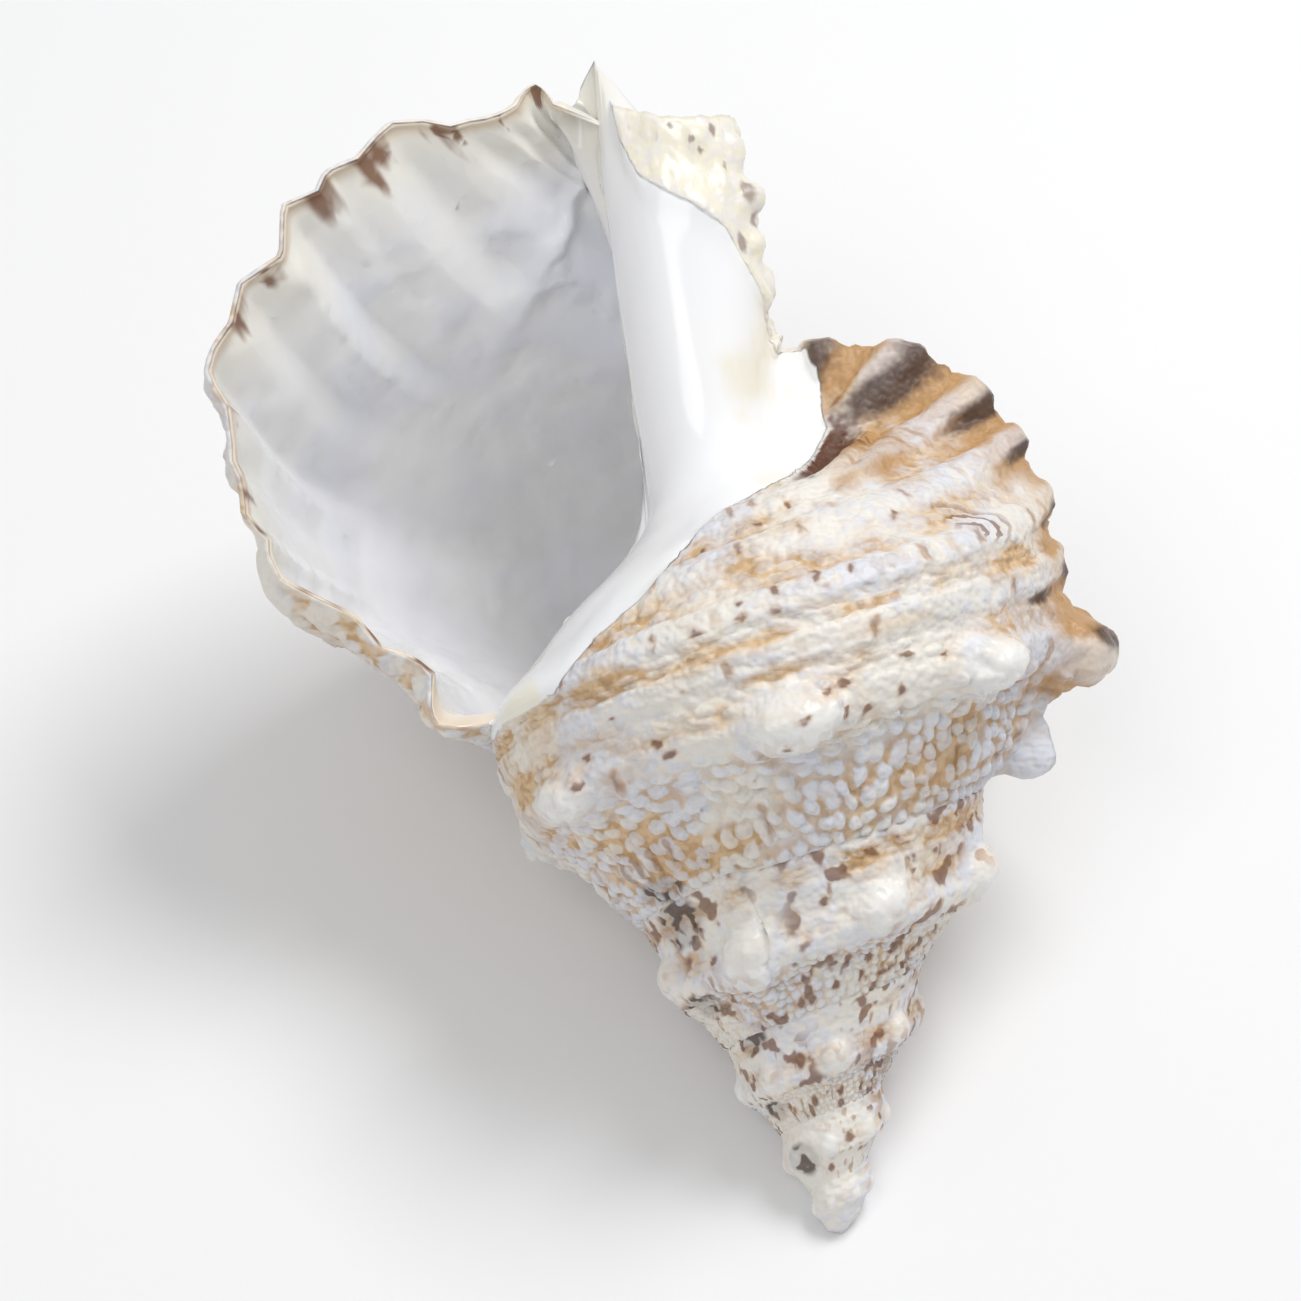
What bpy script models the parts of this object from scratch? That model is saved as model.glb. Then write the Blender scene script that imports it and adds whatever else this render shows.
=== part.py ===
"""Frog shell: one natural piece of shell, grown as a widening right-handed spiral.

The surface is swept by one outline, the section of a whorl in the half plane through the
coiling axis, while it turns round the axis and grows. GROWTH is the growth angle in degrees:
0 at the present lip and negative toward the apex. ACROSS is the place on the outline: 0 at
the suture above a whorl, 0.45 at its shoulder, 1 at the suture below it, 2 where the base
meets the neck and 3 at the end of the siphonal canal. Each whorl's lower suture is the next
whorl's upper one, so the coils share their points and the shell is one closed solid. The
mouth is a tube that runs back inside the last whorl.

Lengths are in millimetres until the mesh is made, in metres.
"""
import math

import bmesh
import bpy
import numpy as np
from mathutils import Matrix, Vector

NODE = "shell"
METRE = 0.001

# Driving dimensions of the coil, in mm and degrees
WHORLS = 5
ROWS_PER_WHORL = 72
COLUMNS_ABOVE = 24
COLUMNS_BELOW = 48
RADIUS_GROWTH = 1.66
DROP_GROWTH = 1.50
LIP_DIRECTION = -18.0
SUTURE_RADIUS = 45.0
SUTURE_DROP = 105.7
SPIRE_TAPER = ((-1800, 0.80), (-1100, 0.80), (-720, 0.885), (-400, 1.0), (0, 1.0))
AXIS_BEND = ((0, 0.6), (45, 0.6), (67, -1.3), (84, -0.6), (101, 0.5), (128, 0.8),
             (151, 0.5), (185, 0.0), (220, 0.0))

# The outline of the last whorl, without its lip: place across, radius, drop below the pole
WHORL_OUTLINE = (
    (0.00, 45.0, 105.7),
    (0.10, 50.7, 111.7),
    (0.22, 58.0, 118.9),
    (0.45, 71.4, 128.0),
    (0.72, 74.9, 142.8),
    (1.00, 74.7, 158.5),
    (1.20, 65.2, 170.0),
    (1.40, 54.1, 180.1),
    (1.60, 40.3, 188.8),
    (1.80, 28.2, 198.2),
    (2.00, 21.5, 210.0),
)
NECK_ACROSS = (2.25, 2.50, 2.75, 3.00)
# How far the body whorl's shoulder sits below that of the older whorls
SHOULDER_SAG = ((0.22, 2.4), (0.45, 6.4), (0.72, 3.4))
# The neck: growth angle, drop of its end, radius at mid length and at its end
NECK_END = (
    (-720, 205.8, 6.7, 5.0),
    (-400, 205.8, 12.1, 9.8),
    (-360, 213.0, 12.8, 10.4),
    (-335, 208.3, 12.6, 10.2),
    (-290, 204.6, 12.3, 9.8),
    (-198, 203.3, 13.0, 12.3),
    (-90, 205.8, 15.5, 12.1),
    (-30, 212.0, 18.5, 16.5),
    (0, 214.0, 20.5, 18.8),
)
# The hollow side of the last whorl, half a turn before the lip
WAIST_GROWTH = -198.0
WAIST_SHRINK = 0.07
WAIST_PINCH = ((1.20, 1.0, 0.0), (1.40, 2.4, 1.5), (1.60, 4.4, 5.0), (1.80, 4.7, 10.0), (2.00, 3.4, 15.0))

# The edge of the flared outer lip: place across, radius, drop
LIP_OUTLINE = (
    (0.00, 45.0, 105.7),
    (0.10, 54.8, 108.5),
    (0.22, 61.5, 117.9),
    (0.45, 81.3, 136.4),
    (0.72, 80.3, 153.7),
    (1.00, 83.5, 170.7),
    (1.20, 78.0, 181.4),
    (1.40, 68.2, 193.2),
    (1.60, 56.1, 203.6),
    (1.80, 44.0, 208.3),
    (2.00, 32.9, 208.0),
    (2.25, 26.2, 209.5),
    (2.50, 22.6, 211.6),
    (2.75, 20.2, 211.6),
    (3.00, 17.6, 210.4),
)
LIP_FADE = 20.0

# Former lips (varices): growth angles, and the crest of the one on the last whorl
FIRST_VARIX = -203.0
VARIX_STEP = 233.5
VARIX_COUNT = 4
VARIX_RISE = 9.0
VARIX_FALL = 8.0
VARIX_HALF_WIDTH = 2.5
# Share of that crest's height that the older, worn former lips keep
WORN_VARIX_SHARE = 0.55
VARIX_OUTLINE = (
    (0.00, 33.8, 84.1),
    (0.10, 40.2, 87.6),
    (0.22, 46.2, 94.3),
    (0.45, 53.7, 103.0),
    (0.72, 53.9, 117.0),
    (1.00, 54.0, 129.5),
    (1.20, 51.9, 138.5),
    (1.40, 47.6, 147.0),
    (1.60, 41.0, 155.0),
    (1.80, 30.0, 160.5),
    (2.00, 18.0, 162.0),
)

# Knobs and ribs
KNOB_STEP = VARIX_STEP / 5
KNOB_HEIGHT = 6.2
KNOB_HALF_TURN = 10.0
KNOB_ACROSS = 0.47
KNOB_HALF_ACROSS = 0.12
LATE_KNOBS = ((-335.0, 5.6), (-284.0, 7.4), (-241.0, 6.2), (-203.0, 6.2), (-165.0, 5.4), (-121.0, 7.2),
              (-76.0, 7.2))
ROW_HEIGHT = 2.0
ROW_ACROSS = 0.86
RIB_PLACES = (0.15, 0.43, 0.77, 1.01, 1.25, 1.46, 1.72, 1.95, 2.20)
RIB_HEIGHT = 0.8
SCALLOP_HEIGHT = 1.0
# How far the lip's edge reaches out between place across: its ribs end in small waves
LIP_WAVES = ((0.10, 2.0), (0.175, -1.0), (0.25, 2.7), (0.30, 0.5), (0.41, 2.1), (0.53, -1.9), (0.60, 1.3),
             (0.75, 3.4), (0.89, 0.8), (0.99, 2.3), (1.14, 0.4), (1.24, 2.2), (1.34, -1.2), (1.43, 3.5),
             (1.50, 0.8), (1.54, 1.9), (1.62, 0.2), (1.74, 2.8), (1.90, 0.5), (1.97, 1.6), (2.30, 1.8),
             (2.60, 3.1), (2.86, 0.0), (3.00, 0.0))
LIP_WAVE_FADE = 7.0

# The lip's edge turns back in between the suture and the shoulder
TUCK = 3.2
TUCK_FADE = 3.5
# The slit beside the pillar, and the lobe of its glaze in front of it: growth, across, half widths, height
BESIDE_PILLAR = ((-213.0, 1.97, 12.0, 0.12, -2.6), (-242.0, 2.08, 15.0, 0.16, 2.6))

# Wall of the mouth
WALL = 2.9
LIP_EDGE_SHARE = 0.5
CANAL_THINNING = 0.45
MOUTH_TURN = 300.0
FLOOR_POINTS = 3
FLOOR_DIP = 4.0
FLOOR_DIP_FADE = 34.0
FLOOR_SLOPE = 0.3

# How the shell lies: the direction that points down, and the sideways direction, in the coil's frame
DOWN = (0.106, 0.852, 0.513)
ACROSS_VIEW = (-0.987, 0.0, 0.163)
FLAT_CUT = 0.8
# Share of the swept mesh's triangles that the solid keeps
KEPT_TRIANGLES = 0.245


def smooth_step(low, high, x):
    s = np.clip((x - low) / (high - low), 0.0, 1.0)
    return s * s * (3.0 - 2.0 * s)


def table(pairs, x):
    """Straight-line value at x of a short table of (x, value) rows."""
    keys, values = zip(*pairs)
    return np.interp(x, keys, values)


def curve_through(knots, values, x):
    """Smooth Catmull-Rom value at x of a curve through values at knots."""
    last = len(knots) - 1
    i = np.clip(np.searchsorted(knots, x, side="right") - 1, 0, last - 1)

    def slope(k):
        before = np.clip(k - 1, 0, last)
        after = np.clip(k + 1, 0, last)
        return (values[after] - values[before]) / (knots[after] - knots[before])

    width = knots[i + 1] - knots[i]
    s = (x - knots[i]) / width
    start = (2 * s**3 - 3 * s**2 + 1) * values[i] + (s**3 - 2 * s**2 + s) * width * slope(i)
    end = (3 * s**2 - 2 * s**3) * values[i + 1] + (s**3 - s**2) * width * slope(i + 1)
    return start + end


def radius_scale(growth):
    return RADIUS_GROWTH ** (growth / 360.0) * table(SPIRE_TAPER, growth)


def drop_scale(growth):
    return DROP_GROWTH ** (growth / 360.0)


def varix_angles():
    return [FIRST_VARIX - VARIX_STEP * k for k in range(VARIX_COUNT)]


KNOTS = np.array([row[0] for row in WHORL_OUTLINE] + list(NECK_ACROSS))


def whorl_outline(growth):
    """Radius and drop of the outline's own points at one growth angle, with no lip or knobs."""
    across = np.array([row[0] for row in WHORL_OUTLINE])
    radius = np.array([row[1] for row in WHORL_OUTLINE]) * radius_scale(growth)
    drop = np.array([row[2] for row in WHORL_OUTLINE]) * drop_scale(growth)
    lower_suture = int(np.searchsorted(across, 1.0))
    radius[lower_suture] = SUTURE_RADIUS * radius_scale(growth + 360.0)
    young = smooth_step(-560.0, -340.0, growth)
    for place, sag in SHOULDER_SAG:
        drop[across == place] += sag * young * drop_scale(growth)
    waist = math.exp(-(((growth - WAIST_GROWTH) / 75.0) ** 2))
    radius *= 1.0 - WAIST_SHRINK * waist * smooth_step(0.0, 0.4, across)
    for place, inward, upward in WAIST_PINCH:
        radius[across == place] -= inward * waist
        drop[across == place] -= upward * waist
    keys = [row[0] for row in NECK_END]
    end_drop, middle, end = (np.interp(growth, keys, [row[k] for row in NECK_END]) for k in (1, 2, 3))
    steps = np.array([0.25, 0.5, 0.75, 1.0])
    neck_drop = drop[-1] + (end_drop - drop[-1]) * steps
    neck_radius = np.array([0.55 * radius[-1] + 0.45 * middle, middle, 0.75 * middle + 0.25 * end, end])
    return np.concatenate([radius, neck_radius]), np.concatenate([drop, neck_drop])


def flare_to(outline, growth):
    """How far an edge's outline stands from the plain one at its growth angle."""
    radius, drop = whorl_outline(growth)
    missing = [(0.0, 0.0)] * (len(radius) - len(outline))
    steps = [(row[1] - radius[k], row[2] - drop[k]) for k, row in enumerate(outline)] + missing
    return np.array(steps).T


LIP_FLARE = flare_to(LIP_OUTLINE, 0.0)
VARIX_FLARE = flare_to(VARIX_OUTLINE, FIRST_VARIX)


def plain_surface(growth, across):
    """Radius and drop at one growth angle, flared at the lip and the former lips."""
    outline = np.array(whorl_outline(growth)) + LIP_FLARE * math.exp(min(growth, 0.0) / LIP_FADE)
    for angle in varix_angles():
        before = min(growth - angle + VARIX_HALF_WIDTH, 0.0)
        after = max(growth - angle - VARIX_HALF_WIDTH, 0.0)
        crest = math.exp(before / VARIX_RISE) * (1.0 - smooth_step(0.0, VARIX_FALL, after))
        if angle != FIRST_VARIX:
            crest *= WORN_VARIX_SHARE
        outline += VARIX_FLARE * crest * radius_scale(angle) / radius_scale(FIRST_VARIX)
    return curve_through(KNOTS, outline[0], across), curve_through(KNOTS, outline[1], across)


def outward(radius, drop):
    """Unit direction out of the outline, in (radius, drop)."""
    along_radius = np.gradient(radius)
    along_drop = np.gradient(drop)
    length = np.hypot(along_radius, along_drop) + 1e-9
    return along_drop / length, -along_radius / length


def bump(x, half_width):
    return np.exp(-((x / half_width) ** 2))


def relief(growth, across):
    """Height of the knobs, rows and ribs above the plain surface, in mm."""
    scale = radius_scale(growth)
    off_lip = smooth_step(0.0, -25.0, growth)
    ribs = np.cos(2.0 * np.pi * np.interp(across, RIB_PLACES, range(len(RIB_PLACES))))
    ribbed = smooth_step(0.08, 0.2, across) * (1.0 - smooth_step(1.9, 2.1, across))
    height = RIB_HEIGHT * scale * ribs * ribbed
    if growth < LATE_KNOBS[0][0] - KNOB_STEP / 2:
        phase = (growth - FIRST_VARIX + KNOB_STEP / 2) % KNOB_STEP - KNOB_STEP / 2
        knobs = [(phase, KNOB_HEIGHT)]
    else:
        knobs = [(growth - angle, tall) for angle, tall in LATE_KNOBS]
    for phase, tall in knobs:
        size = tall * scale**1.2 * off_lip * math.exp(-((phase / KNOB_HALF_TURN) ** 2))
        height = height + size * bump(across - KNOB_ACROSS, KNOB_HALF_ACROSS)
    half = KNOB_STEP / 2
    phase = (growth - FIRST_VARIX + half / 2) % half - half / 2
    size = ROW_HEIGHT * scale * off_lip * math.exp(-((phase / 6.0) ** 2))
    height = height + size * bump(across - ROW_ACROSS, 0.06)
    for angle, place, half_turn, half_across, tall in BESIDE_PILLAR:
        size = tall * math.exp(-(((growth - angle) / half_turn) ** 2))
        height = height + size * bump(across - place, half_across)
    tucked = smooth_step(0.1, 0.22, across) * (1.0 - smooth_step(0.4, 0.6, across))
    height = height - TUCK * tucked * math.exp(growth / TUCK_FADE)
    height = height + table(LIP_WAVES, across) * math.exp(growth / LIP_WAVE_FADE)
    for angle in varix_angles():
        crest = math.exp(-(((growth - angle) / 7.0) ** 2)) * radius_scale(angle)
        height = height + SCALLOP_HEIGHT * crest * ribs * ribbed
    return height


def to_space(radius, drop, growth):
    """Points of the coil's frame, whose +Z runs to the apex, for one growth angle."""
    angle = math.radians(LIP_DIRECTION - growth)
    bend = table(AXIS_BEND, drop)
    return np.stack([radius * math.cos(angle) + bend, radius * math.sin(angle), -drop], axis=-1)


class ShellMesh:
    """Points and faces of the closed shell."""

    def __init__(self):
        self.points = []
        self.faces = []

    def add(self, point):
        self.points.append(tuple(float(c) for c in point))
        return len(self.points) - 1

    def centre_of(self, ids):
        return np.mean([self.points[k] for k in ids], axis=0)

    def fan(self, centre, loop):
        for here, after in zip(loop, loop[1:] + loop[:1]):
            self.faces.append((centre, here, after))


def outside_rows():
    """Growth angles, places across and the relieved surface of every row."""
    count = WHORLS * ROWS_PER_WHORL
    growths = (np.arange(count + 1) - count) * 360.0 / ROWS_PER_WHORL
    above = np.linspace(0.0, 1.0, COLUMNS_ABOVE + 1)
    below = np.linspace(1.0, 3.0, COLUMNS_BELOW + 1)[1:]
    across = np.concatenate([above, below])
    radius = np.empty((count + 1, len(across)))
    drop = np.empty_like(radius)
    for i, growth in enumerate(growths):
        plain_radius, plain_drop = plain_surface(growth, across)
        out_radius, out_drop = outward(plain_radius, plain_drop)
        height = relief(growth, across)
        radius[i] = plain_radius + out_radius * height
        drop[i] = plain_drop + out_drop * height
    near_suture = np.clip(1.0 - across / 0.2, 0.0, 1.0) ** 2
    for i in range(ROWS_PER_WHORL, count + 1):
        older = i - ROWS_PER_WHORL
        radius[i] += (radius[older, COLUMNS_ABOVE] - radius[i, 0]) * near_suture
        drop[i] += (drop[older, COLUMNS_ABOVE] - drop[i, 0]) * near_suture
    return growths, across, radius, drop


def add_outside(mesh, growths, radius, drop):
    """The coiled outer surface, from the apex to the lip, with its base on the last whorl."""
    last_row = len(growths) - 1
    first_base_row = last_row - ROWS_PER_WHORL
    width = COLUMNS_ABOVE + COLUMNS_BELOW
    ids = np.full((last_row + 1, width + 1), -1)
    for i, growth in enumerate(growths):
        points = to_space(radius[i], drop[i], growth)
        columns = width if i >= first_base_row else COLUMNS_ABOVE
        for j in range(columns + 1):
            if j == 0 and i >= ROWS_PER_WHORL:
                ids[i, 0] = ids[i - ROWS_PER_WHORL, COLUMNS_ABOVE]
            else:
                ids[i, j] = mesh.add(points[j])
    for i in range(last_row):
        columns = width if i >= first_base_row else COLUMNS_ABOVE
        for j in range(columns):
            mesh.faces.append((ids[i, j], ids[i + 1, j], ids[i + 1, j + 1], ids[i, j + 1]))
    return ids


def add_apex(mesh, ids):
    """The worn stub that closes the first whorl."""
    rim = [ids[i, 0] for i in range(ROWS_PER_WHORL, -1, -1)]
    rim += [ids[0, j] for j in range(1, COLUMNS_ABOVE)]
    centre = mesh.centre_of(rim)
    centre[2] = max(mesh.points[k][2] for k in rim) + 0.6
    mesh.fan(mesh.add(centre), rim)


def mouth_ring(mesh, growth, row_radius, row_drop, across, parietal):
    """One loop of the mouth's tube: inner wall, canal floor, and back up the pillar."""
    depth = -growth
    scale = radius_scale(growth)
    reach = np.interp(depth, (0, 30, 90, 160, 400), (3.0, 2.6, 2.0, 1.7, 1.6)) / 3.0
    inside = across * reach
    plain_radius, plain_drop = plain_surface(growth, inside)
    rough = math.exp(-depth / 9.0)
    radius = plain_radius * (1.0 - rough) + np.interp(inside, across, row_radius) * rough
    drop = plain_drop * (1.0 - rough) + np.interp(inside, across, row_drop) * rough
    out_radius, out_drop = outward(plain_radius, plain_drop)
    share = LIP_EDGE_SHARE + (1.0 - LIP_EDGE_SHARE) * smooth_step(0.0, 16.0, depth)
    thin_end = 1.0 - CANAL_THINNING * smooth_step(2.1, 2.6, inside)
    wall = WALL * scale * share * thin_end
    inner = to_space(radius - out_radius * wall, drop - out_drop * wall, growth)
    if parietal is None:
        end = np.interp(depth, (0, 30, 90, 160, 400), (3.0, 2.75, 2.2, 1.8, 1.7))
        path = np.linspace(1.0, end, COLUMNS_BELOW)
        pillar_radius, pillar_drop = plain_surface(growth - 360.0, path)
        steps = np.hypot(np.diff(pillar_radius), np.diff(pillar_drop))
        length = np.concatenate([[0.0], np.cumsum(steps)])
        wanted = np.linspace(WALL * scale * 1.1, length[-1], COLUMNS_BELOW)
        pillar_radius = np.interp(wanted, length, pillar_radius)
        pillar_drop = np.interp(wanted, length, pillar_drop)
        pillar = to_space(pillar_radius, pillar_drop, growth)
        parietal = [mesh.add(point) for point in pillar]
    corner = np.array(mesh.points[parietal[0]])
    near_corner = np.clip(1.0 - inside / 0.25, 0.0, 1.0)[:, None]
    inner = inner + (corner - inner[0]) * near_corner
    wall_ids = [mesh.add(point) for point in inner[1:]]
    start = np.array(mesh.points[wall_ids[-1]])
    end = np.array(mesh.points[parietal[-1]])
    backward = math.radians(LIP_DIRECTION - growth + 90.0)
    sunk = FLOOR_DIP * (1.0 - smooth_step(0.0, FLOOR_DIP_FADE, depth))
    dip = np.array([math.cos(backward), math.sin(backward), FLOOR_SLOPE]) * sunk
    floor_ids = []
    for k in range(FLOOR_POINTS):
        s = (k + 1.0) / (FLOOR_POINTS + 1.0)
        floor_ids.append(mesh.add(start * (1.0 - s) + end * s + dip * math.sin(math.pi * s)))
    return wall_ids + floor_ids + parietal[::-1]


def add_mouth(mesh, ids, growths, radius, drop, across):
    """The hollow of the last whorl, its rim at the lip, and the open end of the canal."""
    last_row = len(growths) - 1
    columns = COLUMNS_ABOVE + COLUMNS_BELOW
    pillar_row = last_row - ROWS_PER_WHORL
    rim_pillar = [int(k) for k in ids[pillar_row, COLUMNS_ABOVE + 1:]]
    rings = []
    for back in range(int(MOUTH_TURN / 360.0 * ROWS_PER_WHORL) + 1):
        i = last_row - back
        shared = rim_pillar if back == 0 else None
        rings.append(mouth_ring(mesh, growths[i], radius[i], drop[i], across, shared))
    for front, behind in zip(rings, rings[1:]):
        for k in range(len(front)):
            after = (k + 1) % len(front)
            mesh.faces.append((front[k], behind[k], behind[after], front[after]))
    deepest = rings[-1]
    mesh.fan(mesh.add(mesh.centre_of(deepest)), deepest[::-1])
    inner_rim = [rim_pillar[0]] + rings[0][:columns]
    for j in range(columns):
        mesh.faces.append((ids[last_row, j], inner_rim[j], inner_rim[j + 1], ids[last_row, j + 1]))
    canal_end = [int(ids[i, columns]) for i in range(pillar_row, last_row + 1)]
    canal_end += rings[0][columns - 1:columns + FLOOR_POINTS]
    mesh.faces.append(tuple(canal_end))


def lying_turn():
    """Turn from the coil's frame to the way the shell lies, mouth up."""
    up = -Vector(DOWN).normalized()
    side = Vector(ACROSS_VIEW)
    side = (side - up * side.dot(up)).normalized()
    forward = up.cross(side)
    return Matrix((side, forward, up)).to_4x4()


def cut_flat(shape, height):
    """Wear away what is below a level plane, and close the cut with flat faces."""
    plane = Vector((0.0, 0.0, height))
    geometry = shape.verts[:] + shape.edges[:] + shape.faces[:]
    bmesh.ops.bisect_plane(shape, geom=geometry, plane_co=plane, plane_no=Vector((0, 0, -1)),
                           clear_outer=True, dist=1e-7)
    open_edges = [edge for edge in shape.edges if edge.is_boundary]
    bmesh.ops.holes_fill(shape, edges=open_edges, sides=0)


def shell_material():
    material = bpy.data.materials.new("shell")
    material.use_nodes = True
    surface = material.node_tree.nodes["Principled BSDF"]
    surface.inputs["Base Color"].default_value = (0.80, 0.70, 0.55, 1.0)
    surface.inputs["Roughness"].default_value = 0.45
    surface.inputs["Metallic"].default_value = 0.0
    return material


def simplified(data):
    """The same closed surface with fewer triangles, most of them kept where it curves."""
    guide = bpy.data.objects.new("swept", data)
    bpy.context.scene.collection.objects.link(guide)
    fewer = guide.modifiers.new("fewer", "DECIMATE")
    fewer.ratio = KEPT_TRIANGLES
    evaluated = guide.evaluated_get(bpy.context.evaluated_depsgraph_get())
    result = bpy.data.meshes.new_from_object(evaluated)
    bpy.data.objects.remove(guide, do_unlink=True)
    return result


def swept_mesh():
    """The whole shell in the coil's frame."""
    growths, across, radius, drop = outside_rows()
    coil = ShellMesh()
    ids = add_outside(coil, growths, radius, drop)
    add_apex(coil, ids)
    add_mouth(coil, ids, growths, radius, drop, across)
    data = bpy.data.meshes.new("swept")
    data.from_pydata([tuple(c * METRE for c in point) for point in coil.points], [], coil.faces)
    shape = bmesh.new()
    shape.from_mesh(data)
    bmesh.ops.triangulate(shape, faces=shape.faces[:])
    shape.to_mesh(data)
    shape.free()
    return data


def build_shell():
    data = simplified(swept_mesh())
    data.name = NODE
    shape = bmesh.new()
    shape.from_mesh(data)
    bmesh.ops.transform(shape, matrix=lying_turn(), verts=shape.verts)
    cut_flat(shape, min(v.co.z for v in shape.verts) + FLAT_CUT * METRE)
    low = Vector([min(v.co[k] for v in shape.verts) for k in range(3)])
    high = Vector([max(v.co[k] for v in shape.verts) for k in range(3)])
    middle = (low + high) / 2
    bmesh.ops.translate(shape, vec=Vector((-middle.x, -middle.y, -low.z)), verts=shape.verts)
    bmesh.ops.triangulate(shape, faces=shape.faces[:])
    shape.to_mesh(data)
    shape.free()
    data.shade_smooth()
    shell = bpy.data.objects.new(NODE, data)
    bpy.context.scene.collection.objects.link(shell)
    data.materials.append(shell_material())
    return shell


for old in list(bpy.data.objects):
    bpy.data.objects.remove(old, do_unlink=True)
build_shell()
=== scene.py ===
import math

import bmesh
import bpy
import numpy as np
from mathutils import Matrix, Vector


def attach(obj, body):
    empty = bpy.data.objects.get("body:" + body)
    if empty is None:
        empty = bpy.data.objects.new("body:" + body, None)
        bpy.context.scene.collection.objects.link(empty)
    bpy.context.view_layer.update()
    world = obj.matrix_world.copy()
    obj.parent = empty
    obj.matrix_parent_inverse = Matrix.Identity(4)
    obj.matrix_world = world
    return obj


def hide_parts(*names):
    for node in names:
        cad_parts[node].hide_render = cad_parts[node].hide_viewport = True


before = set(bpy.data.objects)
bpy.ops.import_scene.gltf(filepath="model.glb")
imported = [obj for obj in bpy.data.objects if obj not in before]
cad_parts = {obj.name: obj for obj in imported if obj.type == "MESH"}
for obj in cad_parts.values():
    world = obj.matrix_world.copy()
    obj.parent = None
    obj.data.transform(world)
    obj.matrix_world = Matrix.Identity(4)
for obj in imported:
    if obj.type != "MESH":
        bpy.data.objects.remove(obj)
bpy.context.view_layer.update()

# THE SHELL
# One piece of chalky lime, laid down by the animal along the edge of its mouth as it turned about
# a coiling axis and grew wider. Each whorl's lower seam is the next one's upper seam, former lips
# stand as thick ribs across the whorls, and the mouth is a tube that runs back inside the last one.

# Lengths are in millimetres, in the coil's own frame, until the shell is laid down at the end. Growth
# angles are in degrees, 0 at the lip and below 0 behind it. Places across run from 0 at a whorl's upper
# seam over 1 at its lower seam to 3 at the end of the neck.
MM = 0.001
WHORLS = 5
ROWS_PER_WHORL = 480
COLUMNS_ABOVE = 80
COLUMNS_BELOW = 120
WIDENING = 1.66
LENGTHENING = 1.50
LIP_DIRECTION = -18.0
SUTURE_RADIUS = 45.0
# The spire's older whorls are slimmer: growth angle, share of the radius
SPIRE_TAPER = ((-1800, 0.80), (-1100, 0.80), (-720, 0.885), (-400, 1.0), (0, 1.0))
# The axis isn't quite straight: drop below the pole, shift towards the lip's side
AXIS_BEND = ((0, 0.6), (45, 0.6), (67, -1.3), (84, -0.6), (101, 0.5), (128, 0.8),
             (151, 0.5), (185, 0.0), (220, 0.0))

# The outline of a whorl: place across, radius, drop below the pole of the coil
WHORL_OUTLINE = (
    (0.00, 45.0, 105.7),
    (0.10, 50.7, 111.7),
    (0.22, 58.0, 118.9),
    (0.45, 71.4, 128.0),
    (0.72, 74.9, 142.8),
    (1.00, 74.7, 158.5),
    (1.20, 65.2, 170.0),
    (1.40, 54.1, 180.1),
    (1.60, 40.3, 188.8),
    (1.80, 28.2, 198.2),
    (2.00, 21.5, 210.0),
)
NECK_END_ACROSS = 3.0
NECK_ACROSS = (2.25, 2.50, 2.75, NECK_END_ACROSS)
# The shoulder sags on the younger whorls: place across, drop, and the growth angles where it sets in
SHOULDER_SAG = ((0.22, 2.4), (0.45, 6.4), (0.72, 3.4))
SAG_START = -560.0
SAG_FULL = -340.0
# The neck: growth angle, drop of its end, radius at mid length and at its end
NECK_END = (
    (-720, 205.8, 6.7, 5.0),
    (-400, 205.8, 12.1, 9.8),
    (-360, 213.0, 12.8, 10.4),
    (-335, 208.3, 12.6, 10.2),
    (-290, 204.6, 12.3, 9.8),
    (-198, 203.3, 13.0, 12.3),
    (-90, 205.8, 15.5, 12.1),
    (-30, 212.0, 18.5, 16.5),
    (0, 214.0, 20.5, 18.8),
)
# The pointed tip of the canal, at the front of the pillar: growth angle, half turn, length
CANAL_TIP = (-357.0, 10.0, 5.5)
# The hollow waist before the lip, and how it pulls the base in: place across, inwards, upwards
WAIST_GROWTH = -198.0
WAIST_HALF_TURN = 75.0
WAIST_SHRINK = 0.07
WAIST_PINCH = ((1.20, 1.0, 0.0), (1.40, 2.4, 1.5), (1.60, 4.4, 5.0), (1.80, 4.7, 10.0), (2.00, 3.4, 15.0))

# The edge of the flared outer lip, and the small waves in which its ribs end
LIP_OUTLINE = (
    (0.00, 45.0, 105.7),
    (0.10, 54.8, 108.5),
    (0.22, 61.5, 117.9),
    (0.45, 81.3, 136.4),
    (0.72, 80.3, 153.7),
    (1.00, 83.5, 170.7),
    (1.20, 78.0, 181.4),
    (1.40, 68.2, 193.2),
    (1.60, 56.1, 203.6),
    (1.80, 44.0, 208.3),
    (2.00, 32.9, 208.0),
    (2.25, 26.2, 209.5),
    (2.50, 22.6, 211.6),
    (2.75, 20.2, 211.6),
    (3.00, 17.6, 210.4),
)
LIP_FADE = 20.0
LIP_WAVES = ((0.10, 2.0), (0.175, -1.0), (0.25, 2.7), (0.30, 0.5), (0.41, 2.1), (0.53, -1.9), (0.60, 1.3),
             (0.75, 3.4), (0.89, 0.8), (0.99, 2.3), (1.14, 0.4), (1.24, 2.2), (1.34, -1.2), (1.43, 3.5),
             (1.50, 0.8), (1.54, 1.9), (1.62, 0.2), (1.74, 2.8), (1.90, 0.5), (1.97, 1.6), (2.30, 1.8),
             (2.60, 3.1), (2.86, 0.0), (3.00, 0.0))
LIP_WAVE_FADE = 7.0
# The edge is tucked in at the shoulder
TUCK = 3.2
TUCK_FADE = 3.5
TUCK_ACROSS = (0.10, 0.22, 0.40, 0.60)

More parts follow.
